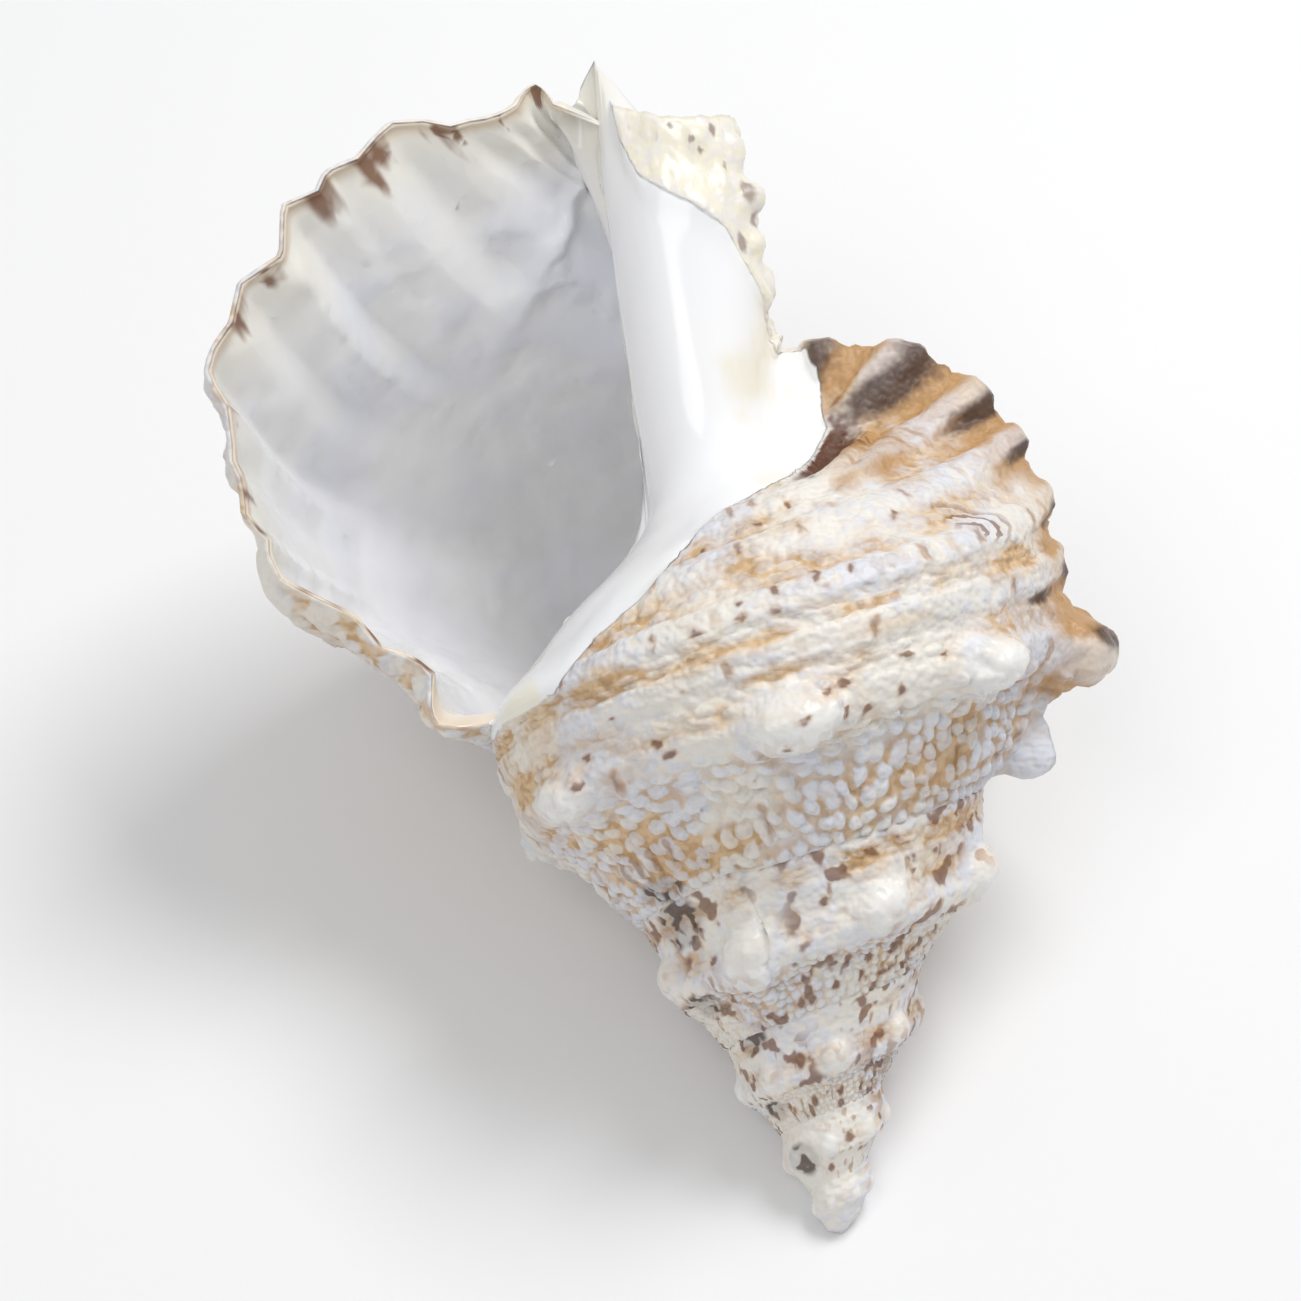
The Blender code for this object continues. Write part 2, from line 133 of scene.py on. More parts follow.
# Former lips (varices): growth angles, and the crest of the one on the last whorl
FIRST_VARIX = -203.0
VARIX_STEP = 233.5
VARIX_COUNT = 4
VARIX_RISE = 9.0
VARIX_FALL = 8.0
VARIX_HALF_WIDTH = 2.5
WORN_VARIX_SHARE = 0.55
# The golden stain reaches further back than the crest does
STAINED_RISE = 14.0
VARIX_OUTLINE = (
    (0.00, 33.8, 84.1),
    (0.10, 40.2, 87.6),
    (0.22, 46.2, 94.3),
    (0.45, 53.7, 103.0),
    (0.72, 53.9, 117.0),
    (1.00, 54.0, 129.5),
    (1.20, 51.9, 138.5),
    (1.40, 47.6, 147.0),
    (1.60, 41.0, 155.0),
    (1.80, 30.0, 160.5),
    (2.00, 18.0, 162.0),
)

# Ribs and knobs
RIB_PLACES = (-0.13, 0.15, 0.43, 0.77, 1.01, 1.25, 1.46, 1.72, 1.95, 2.20, 2.45, 2.72, 3.00)
KNOB_STEP = VARIX_STEP / 5
KNOB_HALF_TURN = 10.0
KNOB_ACROSS = 0.47
KNOB_HALF_ACROSS = 0.12
KNOB_HEIGHT = 6.2
# On the spire the knobs sit lower and are longer across
SPIRE_KNOB_SHIFT = 0.11
SPIRE_KNOB_GAIN = 0.05
SPIRE_KNOB_TURN_GAIN = 1.5
SPIRE_START = -400.0
SPIRE_FULL = -620.0
# One knob is worn down: growth angle, half turn, share that is gone
WORN_KNOB = (-382.0, 22.0, 0.4)
# The last knobs stand less evenly: growth angle, height. None stands on the lip itself
KNOB_LIP_FADE = 25.0
LATE_KNOBS = ((-335.0, 5.6), (-284.0, 7.4), (-241.0, 6.2), (-203.0, 6.2), (-165.0, 5.4), (-121.0, 7.2),
              (-76.0, 7.2))
# The white blade that is left of the former lip beside its seam: growth angle, place across, half
# turn, half width across, height
BLADE = (-205.0, 0.13, 1.2, 0.055, 6.5)
# The worn edge of an older lip: growth angle, rise, fall, height
OLD_EDGE = (-668.0, 6.0, 2.5, 1.5)

# The glaze spreads over the last whorl between two lines: growth angle, place across
GLAZE_LINE = ((-361, 0.93), (-349, 0.96), (-340, 0.94), (-335, 0.95), (-330, 0.98), (-325, 1.07),
              (-321, 1.13), (-311, 1.21), (-302, 1.37), (-296, 1.47), (-287, 1.54), (-262, 1.60),
              (-245, 1.66), (-231, 1.70), (-220, 1.73), (-210, 1.88), (-205, 2.0), (-200, 2.3))
GLAZE_TOP = ((-345, 3.15), (-330, 2.90), (-316, 2.80), (-284, 2.72), (-254, 2.62), (-240, 2.50),
             (-228, 2.42), (-215, 2.30), (-205, 2.10), (-200, 2.0))
GLAZE_THICKNESS = 0.35
# Its thick edge: the growth angles that it spans, and how far it spreads inside the lower line
GLAZED_GROWTH = (-365.0, -358.0, -215.0, -203.0)
GLAZE_EDGE = (-0.02, 0.02, 0.03, 0.30)
# Its free edge by the mouth's corner: growth angle, half turn, height
FREE_EDGE = (-347.0, 20.0, 2.2)
# The chink beside it, with painted shade: growth angle, half turn, how far outside the line, half width
# across, depth
CHINK = (-238.0, 18.0, 0.060, 0.060, 1.5)
# Two thin folds and a golden stain beside the chink: how far outside the line, half width, height
CHINK_FOLDS = ((0.155, 0.030, 2.2), (0.24, 0.030, 1.6))
CHINK_GOLD = (0.20, 0.15)
# Bumps on the end of the neck: growth angle, place across, half turn, half width across, height
NECK_BUMPS = (
    (-221.0, 2.90, 9.0, 0.055, 2.2), (-217.0, 2.74, 10.0, 0.050, 2.6), (-219.0, 2.58, 9.0, 0.050, 2.2),
    (-262.0, 2.93, 10.0, 0.045, 1.2), (-290.0, 2.95, 12.0, 0.040, 0.8), (-243.0, 2.80, 7.0, 0.040, 0.8),
)
# The low ridge along the glaze's upper line: height, how far above the line, half width
NECK_RIDGE = (0.8, 0.03, 0.08)

# Wall of the mouth, which is thinner at the lip's edge and along the canal
WALL = 2.9
LIP_EDGE_SHARE = 0.5
LIP_EDGE_TURN = 16.0
# The share of the wall that the canal loses, and the places across where it thins out
CANAL_THINNING = 0.45
CANAL_START = 2.1
CANAL_FULL = 2.6
# The pillar's inner face starts a little more than one wall from the mouth's corner
PILLAR_START = 1.1
MOUTH_TURN = 300.0
# How far the inner wall and the pillar reach: degrees back from the lip, place across
WALL_REACH = ((0, 3.0), (30, 2.6), (90, 2.0), (160, 1.7), (400, 1.6))
PILLAR_REACH = ((0, 3.0), (30, 2.75), (90, 2.2), (160, 1.8), (400, 1.7))
# The inside follows the lip's waves over a few degrees. It closes on the pillar at its corner, as the
# outer surface closes on the older whorl at the seam, over a short way across
LIP_SHAPE_FADE = 9.0
CORNER_ACROSS = 0.25
SEAM_ACROSS = 0.2
# The canal's floor dips between the inner wall and the pillar
FLOOR_POINTS = 12
FLOOR_DIP = 4.0
FLOOR_DIP_FADE = 34.0
FLOOR_SLOPE = 0.3
EDGE_ROWS = 5

# How the shell lies: the direction that points down, the sideways direction, and its place in mm
DOWN = (0.106, 0.852, 0.513)
SIDEWAYS = (-0.987, 0.0, 0.163)
PLACE = (35.88, -94.83, -6.44)


def smooth_step(low, high, x):
    s = np.clip((x - low) / (high - low), 0.0, 1.0)
    return s * s * (3.0 - 2.0 * s)


def bump(x, half_width):
    return np.exp(-((x / half_width) ** 2))


def window(x, edges):
    """0 outside the first and the last of four edges, and 1 between the middle two."""
    start, full, ending, end = edges
    return smooth_step(start, full, x) * (1.0 - smooth_step(ending, end, x))


def crest(from_crest, half_width, rise, fall):
    """1 along the crest of an old edge, falling off before it over rise and after it over fall."""
    before = np.minimum(from_crest + half_width, 0.0)
    after = np.maximum(from_crest - half_width, 0.0)
    return np.exp(before / rise) * (1.0 - smooth_step(0.0, fall, after))


def mix(share, first, second):
    """The first value at share 0, the second at share 1, and a straight line between."""
    return first * (1.0 - share) + second * share


def table(pairs, x):
    """Straight-line value at x of a short table of (x, value) rows."""
    keys, values = zip(*pairs)
    return np.interp(x, keys, values)


def curve_through(knots, values, x):
    """Smooth Catmull-Rom value at x of a curve through values at knots."""
    last = len(knots) - 1
    i = np.clip(np.searchsorted(knots, x, side="right") - 1, 0, last - 1)

    def slope(k):
        before = np.clip(k - 1, 0, last)
        after = np.clip(k + 1, 0, last)
        return (values[after] - values[before]) / (knots[after] - knots[before])

    width = knots[i + 1] - knots[i]
    s = (x - knots[i]) / width
    start = (2 * s**3 - 3 * s**2 + 1) * values[i] + (s**3 - 2 * s**2 + s) * width * slope(i)
    end = (3 * s**2 - 2 * s**3) * values[i + 1] + (s**3 - s**2) * width * slope(i + 1)
    return start + end


def radius_scale(growth):
    return WIDENING ** (growth / 360.0) * table(SPIRE_TAPER, growth)


def drop_scale(growth):
    return LENGTHENING ** (growth / 360.0)


def rib_number(across):
    """Ribs are numbered from -1 at the upper seam; a whole number is a rib's top."""
    return np.interp(across, RIB_PLACES, np.arange(len(RIB_PLACES)) - 1.0)


OUTLINE_KNOTS = np.array([row[0] for row in WHORL_OUTLINE] + list(NECK_ACROSS))


def whorl_outline(growth):
    """Radius and drop of the outline's own points at one growth angle, with no lip or knobs."""
    across = np.array([row[0] for row in WHORL_OUTLINE])
    radius = np.array([row[1] for row in WHORL_OUTLINE]) * radius_scale(growth)
    drop = np.array([row[2] for row in WHORL_OUTLINE]) * drop_scale(growth)
    lower_suture = int(np.searchsorted(across, 1.0))
    radius[lower_suture] = SUTURE_RADIUS * radius_scale(growth + 360.0)
    young = smooth_step(SAG_START, SAG_FULL, growth)
    for place, sag in SHOULDER_SAG:
        drop[across == place] += sag * young * drop_scale(growth)
    waist = bump(growth - WAIST_GROWTH, WAIST_HALF_TURN)
    radius *= 1.0 - WAIST_SHRINK * waist * smooth_step(0.0, 0.4, across)
    for place, inward, upward in WAIST_PINCH:
        radius[across == place] -= inward * waist
        drop[across == place] -= upward * waist
    keys = [row[0] for row in NECK_END]
    end_drop, middle, end = (np.interp(growth, keys, [row[k] for row in NECK_END]) for k in (1, 2, 3))
    end_drop += CANAL_TIP[2] * bump(growth - CANAL_TIP[0], CANAL_TIP[1])
    steps = np.array(NECK_ACROSS) - across[-1]
    neck_drop = drop[-1] + (end_drop - drop[-1]) * steps
    neck_radius = np.array([mix(0.45, radius[-1], middle), middle, mix(0.25, middle, end), end])
    return np.concatenate([radius, neck_radius]), np.concatenate([drop, neck_drop])


def flare_to(outline, growth):
    """How far an edge's outline stands from the plain one at its growth angle."""
    radius, drop = whorl_outline(growth)
    missing = [(0.0, 0.0)] * (len(radius) - len(outline))
    steps = [(row[1] - radius[k], row[2] - drop[k]) for k, row in enumerate(outline)] + missing
    return np.array(steps).T


LIP_FLARE = flare_to(LIP_OUTLINE, 0.0)
VARIX_FLARE = flare_to(VARIX_OUTLINE, FIRST_VARIX)
VARIX_ANGLES = [FIRST_VARIX - VARIX_STEP * k for k in range(VARIX_COUNT)]


def plain_surface(growth, across):
    """Radius and drop at one growth angle, flared at the lip and the former lips."""
    outline = np.array(whorl_outline(growth)) + LIP_FLARE * math.exp(min(growth, 0.0) / LIP_FADE)
    for angle in VARIX_ANGLES:
        share = 1.0 if angle == FIRST_VARIX else WORN_VARIX_SHARE
        height = share * crest(growth - angle, VARIX_HALF_WIDTH, VARIX_RISE, VARIX_FALL)
        outline += VARIX_FLARE * (height * radius_scale(angle) / radius_scale(FIRST_VARIX))
    return [curve_through(OUTLINE_KNOTS, values, across) for values in outline]


def outward(radius, drop):
    """Unit direction out of the outline, in (radius, drop)."""
    along_radius = np.gradient(radius)
    along_drop = np.gradient(drop)
    length = np.hypot(along_radius, along_drop) + 1e-9
    return along_drop / length, -along_radius / length


def knob_share(growth, across):
    """Height of the knobs on the shoulder, as a share of the full knob height."""
    if growth < LATE_KNOBS[0][0] - KNOB_STEP / 2:
        phase = (growth - FIRST_VARIX + KNOB_STEP / 2) % KNOB_STEP - KNOB_STEP / 2
        knobs = [(phase, KNOB_HEIGHT)]
    else:
        knobs = [(growth - angle, tall) for angle, tall in LATE_KNOBS]
    spire = smooth_step(SPIRE_START, SPIRE_FULL, growth)
    from_top = across - KNOB_ACROSS - SPIRE_KNOB_SHIFT * spire
    half_across = KNOB_HALF_ACROSS + SPIRE_KNOB_GAIN * spire
    half_turn = KNOB_HALF_TURN + SPIRE_KNOB_TURN_GAIN * spire
    share = np.zeros_like(across)
    for phase, tall in knobs:
        share += tall / KNOB_HEIGHT * bump(phase, half_turn) * bump(from_top, half_across)
    worn_knob = 1.0 - WORN_KNOB[2] * bump(growth - WORN_KNOB[0], WORN_KNOB[1])
    return share * worn_knob * smooth_step(0.0, -KNOB_LIP_FADE, growth)


def beyond_glaze_line(growth, across):
    """How far across a place lies inside the glaze's lower line."""
    return across - table(GLAZE_LINE, growth)


def edge_relief(growth, across):
    """Height in mm of what has an edge: the lip, the glaze and its chink, the neck and an old lip."""
    height = table(LIP_WAVES, across) * math.exp(min(growth, 0.0) / LIP_WAVE_FADE)
    height = height - TUCK * window(across, TUCK_ACROSS) * math.exp(growth / TUCK_FADE)
    beyond = beyond_glaze_line(growth, across)
    on_last_whorl = window(growth, GLAZED_GROWTH)
    free = GLAZE_THICKNESS + FREE_EDGE[2] * bump(growth - FREE_EDGE[0], FREE_EDGE[1])
    height = height + on_last_whorl * free * window(beyond, GLAZE_EDGE)
    chink = bump(growth - CHINK[0], CHINK[1])
    height = height - chink * CHINK[4] * bump(beyond + CHINK[2], CHINK[3])
    for place, half_across, tall in CHINK_FOLDS:
        height = height + chink * tall * bump(beyond + place, half_across)
    tall, above_line, half_across = NECK_RIDGE
    ridge = bump(across - table(GLAZE_TOP, growth) - above_line, half_across) * smooth_step(2.2, 2.5, across)
    height = height + on_last_whorl * tall * ridge
    for angle, place, half_turn, half_across, tall in NECK_BUMPS + (BLADE,):
        height = height + tall * bump(growth - angle, half_turn) * bump(across - place, half_across)
    angle, rise, fall, tall = OLD_EDGE
    return height + tall * crest(growth - angle, 0.0, rise, fall) * smooth_step(0.05, 0.3, across)


class StraightShell:
    """The shell with its coil undone: whorls along X, radius along Y, height along Z.

    A point also knows its whorl, its rib number and whether it is inside the mouth. Each face
    corner has its own whorl and rib number too, because a seam belongs to two whorls.
    """

    def __init__(self):
        self.count = 0
        self.columns = {"growth": [], "across": [], "radius": [], "drop": [], "inside": [], "knob": []}
        self.faces = {3: [], 4: []}
        self.corners = {3: [], 4: []}

    def add(self, **values):
        """Adds points, given as rows of numbers, and returns their ids."""
        size = len(values["radius"])
        for name, rows in self.columns.items():
            rows.append(np.broadcast_to(np.asarray(values.get(name, 0.0), float), size))
        ids = np.arange(self.count, self.count + size)
        self.count += size
        return ids

    def values(self, name):
        return np.concatenate(self.columns[name])

    def cover(self, ids, growth, across):
        """Faces, a row of corner ids each, with the growth angle and place across of each corner."""
        ids = np.asarray(ids)
        sides = ids.shape[1]
        self.faces[sides].append(ids)
        self.corners[sides].append(np.stack([np.broadcast_to(growth, ids.shape),
                                             np.broadcast_to(across, ids.shape)], axis=-1))

    def band(self, front, behind, front_growth, behind_growth, front_across, behind_across):
        """Four-sided faces between two rows of points of the same length."""

        def corners(first, second):
            return np.stack([first[:-1], second[:-1], second[1:], first[1:]], axis=-1)

        self.cover(corners(front, behind), corners(front_growth, behind_growth),
                   corners(front_across, behind_across))

    def fan(self, centre, loop, growth, across):
        loop = np.asarray(loop)
        ids = np.stack([np.full(len(loop), centre), loop, np.roll(loop, -1)], axis=-1)
        self.cover(ids, growth, across)


straight = StraightShell()
row_count = WHORLS * ROWS_PER_WHORL + 1
last_row = row_count - 1
pillar_row = last_row - ROWS_PER_WHORL
columns = COLUMNS_ABOVE + COLUMNS_BELOW
growths = (np.arange(row_count) - last_row) * 360.0 / ROWS_PER_WHORL
across = np.concatenate([np.linspace(0.0, 1.0, COLUMNS_ABOVE + 1),
                         np.linspace(1.0, NECK_END_ACROSS, COLUMNS_BELOW + 1)[1:]])
radius = np.empty((row_count, columns + 1))
drop = np.empty_like(radius)
for i, growth in enumerate(growths):
    plain_radius, plain_drop = plain_surface(growth, across)
    out_radius, out_drop = outward(plain_radius, plain_drop)
    height = edge_relief(growth, across)
    radius[i] = plain_radius + out_radius * height
    drop[i] = plain_drop + out_drop * height
near_suture = np.clip(1.0 - across / SEAM_ACROSS, 0.0, 1.0) ** 2
for i in range(ROWS_PER_WHORL, row_count):
    older = i - ROWS_PER_WHORL
    radius[i] += (radius[older, COLUMNS_ABOVE] - radius[i, 0]) * near_suture
    drop[i] += (drop[older, COLUMNS_ABOVE] - drop[i, 0]) * near_suture

# The outer surface, from the apex to the lip, with its base on the last whorl alone
outside = np.full((row_count, columns + 1), -1)
for i, growth in enumerate(growths):
    first = 1 if i >= ROWS_PER_WHORL else 0
    if first:
        outside[i, 0] = outside[i - ROWS_PER_WHORL, COLUMNS_ABOVE]
    own = slice(first, (columns if i >= pillar_row else COLUMNS_ABOVE) + 1)
    outside[i, own] = straight.add(growth=growth, across=across[own], radius=radius[i, own],
                                   drop=drop[i, own], knob=knob_share(growth, across[own]))
for i in range(last_row):
    used = slice(0, (columns if i >= pillar_row else COLUMNS_ABOVE) + 1)
    here = np.full(len(across[used]), growths[i])
    there = np.full(len(across[used]), growths[i + 1])
    straight.band(outside[i, used], outside[i + 1, used], here, there, across[used], across[used])

# The worn stub of the apex
STUB_RADIUS = 0.3
STUB_HEIGHT = 0.8
STUB_ACROSS = 0.5
rim = [outside[i, 0] for i in range(ROWS_PER_WHORL, -1, -1)]
rim += [outside[0, j] for j in range(1, COLUMNS_ABOVE)]
tip = straight.add(growth=growths[0], across=[STUB_ACROSS], radius=[STUB_RADIUS],
                   drop=[drop[0, 0] - STUB_HEIGHT])
straight.fan(tip[0], rim, growths[0], STUB_ACROSS)


def mouth_ring(growth, row_radius, row_drop, pillar):
    """One loop of the mouth's tube: inner wall, canal floor, and back up the pillar.

    It returns the loop's ids, growth angles and places across.
    """
    depth = -growth
    scale = radius_scale(growth)
    inner_across = across * (table(WALL_REACH, depth) / NECK_END_ACROSS)
    plain_radius, plain_drop = plain_surface(growth, inner_across)
    wavy = math.exp(-depth / LIP_SHAPE_FADE)
    wall_radius = mix(wavy, plain_radius, np.interp(inner_across, across, row_radius))
    wall_drop = mix(wavy, plain_drop, np.interp(inner_across, across, row_drop))
    out_radius, out_drop = outward(plain_radius, plain_drop)
    share = LIP_EDGE_SHARE + (1.0 - LIP_EDGE_SHARE) * smooth_step(0.0, LIP_EDGE_TURN, depth)
    canal = smooth_step(CANAL_START, CANAL_FULL, inner_across)
    wall = WALL * scale * share * (1.0 - CANAL_THINNING * canal)
    wall_radius = wall_radius - out_radius * wall
    wall_drop = wall_drop - out_drop * wall
    path = np.linspace(1.0, table(PILLAR_REACH, depth), COLUMNS_BELOW)
    if pillar is None:
        pillar_radius, pillar_drop = plain_surface(growth - 360.0, path)
        steps = np.hypot(np.diff(pillar_radius), np.diff(pillar_drop))
        length = np.concatenate([[0.0], np.cumsum(steps)])
        wanted = np.linspace(WALL * scale * PILLAR_START, length[-1], COLUMNS_BELOW)
        pillar_radius = np.interp(wanted, length, pillar_radius)
        pillar_drop = np.interp(wanted, length, pillar_drop)
        pillar = straight.add(growth=growth, across=path, radius=pillar_radius, drop=pillar_drop, inside=1.0)
    else:
        pillar_radius = radius[pillar_row, COLUMNS_ABOVE + 1:]
        pillar_drop = drop[pillar_row, COLUMNS_ABOVE + 1:]
    near_corner = np.clip(1.0 - inner_across / CORNER_ACROSS, 0.0, 1.0)
    wall_radius = wall_radius + (pillar_radius[0] - wall_radius[0]) * near_corner
    wall_drop = wall_drop + (pillar_drop[0] - wall_drop[0]) * near_corner
    inner = straight.add(growth=growth, across=inner_across[1:], radius=wall_radius[1:],
                         drop=wall_drop[1:], inside=1.0)
    s = np.arange(1, FLOOR_POINTS + 1) / (FLOOR_POINTS + 1.0)
    floor_radius = mix(s, wall_radius[-1], pillar_radius[-1])
    floor_drop = mix(s, wall_drop[-1], pillar_drop[-1])
    sunk = FLOOR_DIP * (1.0 - smooth_step(0.0, FLOOR_DIP_FADE, depth)) * np.sin(math.pi * s)
    floor_growth = growth - np.degrees(sunk / floor_radius)
    floor_across = np.full(FLOOR_POINTS, NECK_END_ACROSS)
    floor = straight.add(growth=floor_growth, across=floor_across, radius=floor_radius,
                         drop=floor_drop - FLOOR_SLOPE * sunk, inside=1.0)
    ids = np.concatenate([inner, floor, pillar[::-1]])
    ring_across = np.concatenate([inner_across[1:], floor_across, path[::-1]])
    return ids, np.full(len(ids), growth), ring_across


rings = []
for back in range(int(MOUTH_TURN / 360.0 * ROWS_PER_WHORL) + 1):
    i = last_row - back
    shared = outside[pillar_row, COLUMNS_ABOVE + 1:] if back == 0 else None
    rings.append(mouth_ring(growths[i], radius[i], drop[i], shared))
for front, behind in zip(rings, rings[1:]):
    closed = [np.append(values, values[0]) for values in front + behind]
    straight.band(closed[0], closed[3], closed[1], closed[4], closed[2], closed[5])
deepest = rings[-1][0]
deep_radius, deep_drop = (float(np.mean(straight.values(name)[deepest])) for name in ("radius", "drop"))
deep_growth = rings[-1][1][0]
deep = straight.add(growth=deep_growth, across=[1.0], radius=[deep_radius], drop=[deep_drop], inside=1.0)
straight.fan(deep[0], deepest[::-1], deep_growth, 1.0)

# The lip's rounded edge, from the outer surface over to the inner wall
outer_edge = outside[last_row, 1:]
inner_edge = rings[0][0][:columns]
corner_pair = (outside[last_row, 0], outside[pillar_row, COLUMNS_ABOVE + 1])
all_radius = straight.values("radius")
all_drop = straight.values("drop")
edge_rows = [outer_edge]
for k in range(1, EDGE_ROWS + 1):
    s = k / (EDGE_ROWS + 1.0)
    turned = 0.5 - 0.5 * math.cos(math.pi * s)
    edge_radius = mix(turned, all_radius[outer_edge], all_radius[inner_edge])
    edge_drop = mix(turned, all_drop[outer_edge], all_drop[inner_edge])
    thick = np.hypot(*(values[outer_edge] - values[inner_edge] for values in (all_radius, all_drop)))
    beyond = np.degrees(0.5 * thick * math.sin(math.pi * s) / edge_radius)
    edge_rows.append(straight.add(growth=beyond, across=across[1:], radius=edge_radius, drop=edge_drop,
                                  inside=turned))
edge_rows.append(inner_edge)
level = np.zeros(columns)
for front, behind in zip(edge_rows, edge_rows[1:]):
    straight.band(front, behind, level, level, across[1:], across[1:])
corner_fan = [(corner_pair[0], behind[0], front[0]) for front, behind in zip(edge_rows, edge_rows[1:])]
corner_fan.append((corner_pair[0], corner_pair[1], inner_edge[0]))
straight.cover(np.array(corner_fan), 0.0, 0.0)

# The open end of the canal, a pit whose deepest point lies close to the axis
CANAL_DEPTH = 7.0
CANAL_GROWTH = -200.0
CANAL_RADIUS = 1.5
canal_rim = [int(outside[i, columns]) for i in range(pillar_row, last_row + 1)]
canal_rim += [int(row[-1]) for row in edge_rows[1:]]
canal_rim += [int(k) for k in rings[0][0][columns:columns + FLOOR_POINTS]]
canal_drop = straight.values("drop")[canal_rim]
canal_middle = straight.add(growth=CANAL_GROWTH, across=[NECK_END_ACROSS], radius=[CANAL_RADIUS],
                            drop=[float(np.mean(canal_drop)) - CANAL_DEPTH], inside=1.0)
straight.fan(canal_middle[0], canal_rim, CANAL_GROWTH, NECK_END_ACROSS)

# What the animal painted and what wear has left, as centres and half widths: growth, across
BROWN_MARKS = (
    (-296.0, 1.334, 0.9, 0.020), (-281.5, 1.343, 1.2, 0.020), (-272.5, 1.399, 1.0, 0.024),
    (-261.8, 1.414, 2.0, 0.014), (-274.7, 1.035, 1.1, 0.042), (-268.6, 1.035, 0.7, 0.028),
    (-282.8, 1.040, 1.1, 0.024), (-283.3, 0.968, 1.1, 0.022), (-290.0, 1.042, 0.9, 0.018),
    (-289.5, 0.976, 1.0, 0.024), (-298.5, 1.008, 1.7, 0.009), (-298.3, 0.967, 2.0, 0.010),
    (-306.6, 1.006, 0.7, 0.034), (-277.4, 0.538, 1.4, 0.016), (-274.0, 0.542, 1.8, 0.015),
    (-274.7, 0.453, 1.0, 0.030), (-269.4, 0.421, 1.4, 0.020), (-262.4, 0.435, 1.6, 0.018),
    (-282.7, 0.496, 1.6, 0.010), (-286.4, 0.430, 1.2, 0.012), (-310.4, 0.527, 1.6, 0.026),
    (-308.4, 0.469, 2.2, 0.020), (-326.3, 0.580, 1.5, 0.022), (-328.5, 0.496, 1.4, 0.018),
    (-260.3, 0.580, 1.4, 0.016), (-252.6, 0.538, 1.0, 0.024), (-319.3, 1.336, 0.6, 0.010),
    (-252.0, 1.18, 1.2, 0.016), (-318.0, 0.72, 1.0, 0.020), (-302.0, 0.72, 1.2, 0.016),
    (-654.5, 0.092, 2.4, 0.034), (-648.5, 0.084, 2.2, 0.032), (-636.6, 0.117, 2.4, 0.036),
    (-624.5, 0.122, 2.2, 0.034), (-612.5, 0.094, 2.6, 0.032), (-600.0, 0.080, 2.0, 0.034),
    (-686.3, 0.560, 2.2, 0.050), (-642.0, 0.700, 1.8, 0.040), (-611.0, 0.720, 1.6, 0.060),
    (-1038.2, 0.126, 3.6, 0.050), (-1016.5, 0.147, 3.6, 0.060), (-992.5, 0.145, 3.6, 0.060),
    (-972.5, 0.115, 3.0, 0.050), (-1020.0, 0.620, 3.6, 0.090), (-966.0, 0.600, 3.2, 0.080),
    (-1347.0, 0.560, 5.0, 0.090), (-1330.0, 0.300, 5.0, 0.070), (-1372.0, 0.180, 5.0, 0.080),
)
DARK_PATCHES = (
    (-697.0, 0.86, 13.0, 0.15), (-706.0, 0.30, 12.0, 0.12), (-336.0, 0.06, 11.0, 0.05),
    (-1049.0, 0.95, 12.0, 0.12), (-1060.0, 0.20, 16.0, 0.12), (-1405.0, 0.45, 24.0, 0.30),
    (-160.0, 0.75, 9.0, 0.12), (-95.0, 1.10, 8.0, 0.16), (-520.0, 0.60, 12.0, 0.14),
    (-440.0, 0.25, 14.0, 0.10), (-820.0, 0.50, 16.0, 0.16), (-1180.0, 0.60, 18.0, 0.20),
)
GOLD_PATCHES = (
    (-287.8, 1.21, 6.0, 0.045), (-276.0, 1.275, 6.0, 0.040), (-289.0, 0.85, 9.0, 0.050),
    (-300.0, 0.83, 8.0, 0.050), (-285.2, 0.68, 8.0, 0.040), (-266.0, 0.875, 7.0, 0.030),
    (-262.0, 0.75, 9.0, 0.035), (-320.1, 0.45, 5.0, 0.050), (-332.7, 0.23, 12.0, 0.060),
    (-318.0, 0.11, 16.0, 0.060), (-302.5, 0.12, 9.0, 0.040), (-246.5, 0.14, 11.0, 0.100),
    (-239.4, 0.22, 7.0, 0.100), (-337.0, 0.85, 7.0, 0.200), (-356.0, 0.60, 10.0, 0.300),
    (-319.3, 0.94, 6.0, 0.050), (-597.0, 0.75, 12.0, 0.130), (-626.0, 0.82, 10.0, 0.080),
    (-234.0, 1.53, 15.0, 0.090), (-240.0, 1.30, 10.0, 0.050), (-230.0, 0.85, 10.0, 0.080),
    (-120.0, 0.20, 26.0, 0.120), (-30.0, 0.30, 26.0, 0.160), (-470.0, 0.75, 20.0, 0.150),
    (-60.0, 1.30, 20.0, 0.220), (-150.0, 1.60, 26.0, 0.160), (-550.0, 0.20, 20.0, 0.100),
)
WORN_PATCHES = (
    (-249.0, 1.335, 6.0, 0.07), (-212.0, 1.09, 4.5, 0.055), (-268.0, 1.17, 7.0, 0.05),
    (-640.0, 0.45, 7.0, 0.08), (-660.0, 0.80, 6.0, 0.16),
    (-130.0, 0.50, 9.0, 0.14), (-1011.0, 0.90, 12.0, 0.12), (-204.0, 0.13, 6.0, 0.09),
)
# Dark bands that run out to the edge of the former lip
VARIX_BANDS = (
    (-209.0, 1.95, 8.0, 0.075), (-209.5, 1.67, 8.5, 0.075), (-207.5, 1.40, 7.0, 0.042),
    (-206.0, 1.20, 4.5, 0.030), (-206.0, 0.95, 4.5, 0.045), (-205.0, 0.73, 4.0, 0.036),
    (-219.0, 0.660, 7.0, 0.032), (-205.0, 0.50, 3.0, 0.030),
)
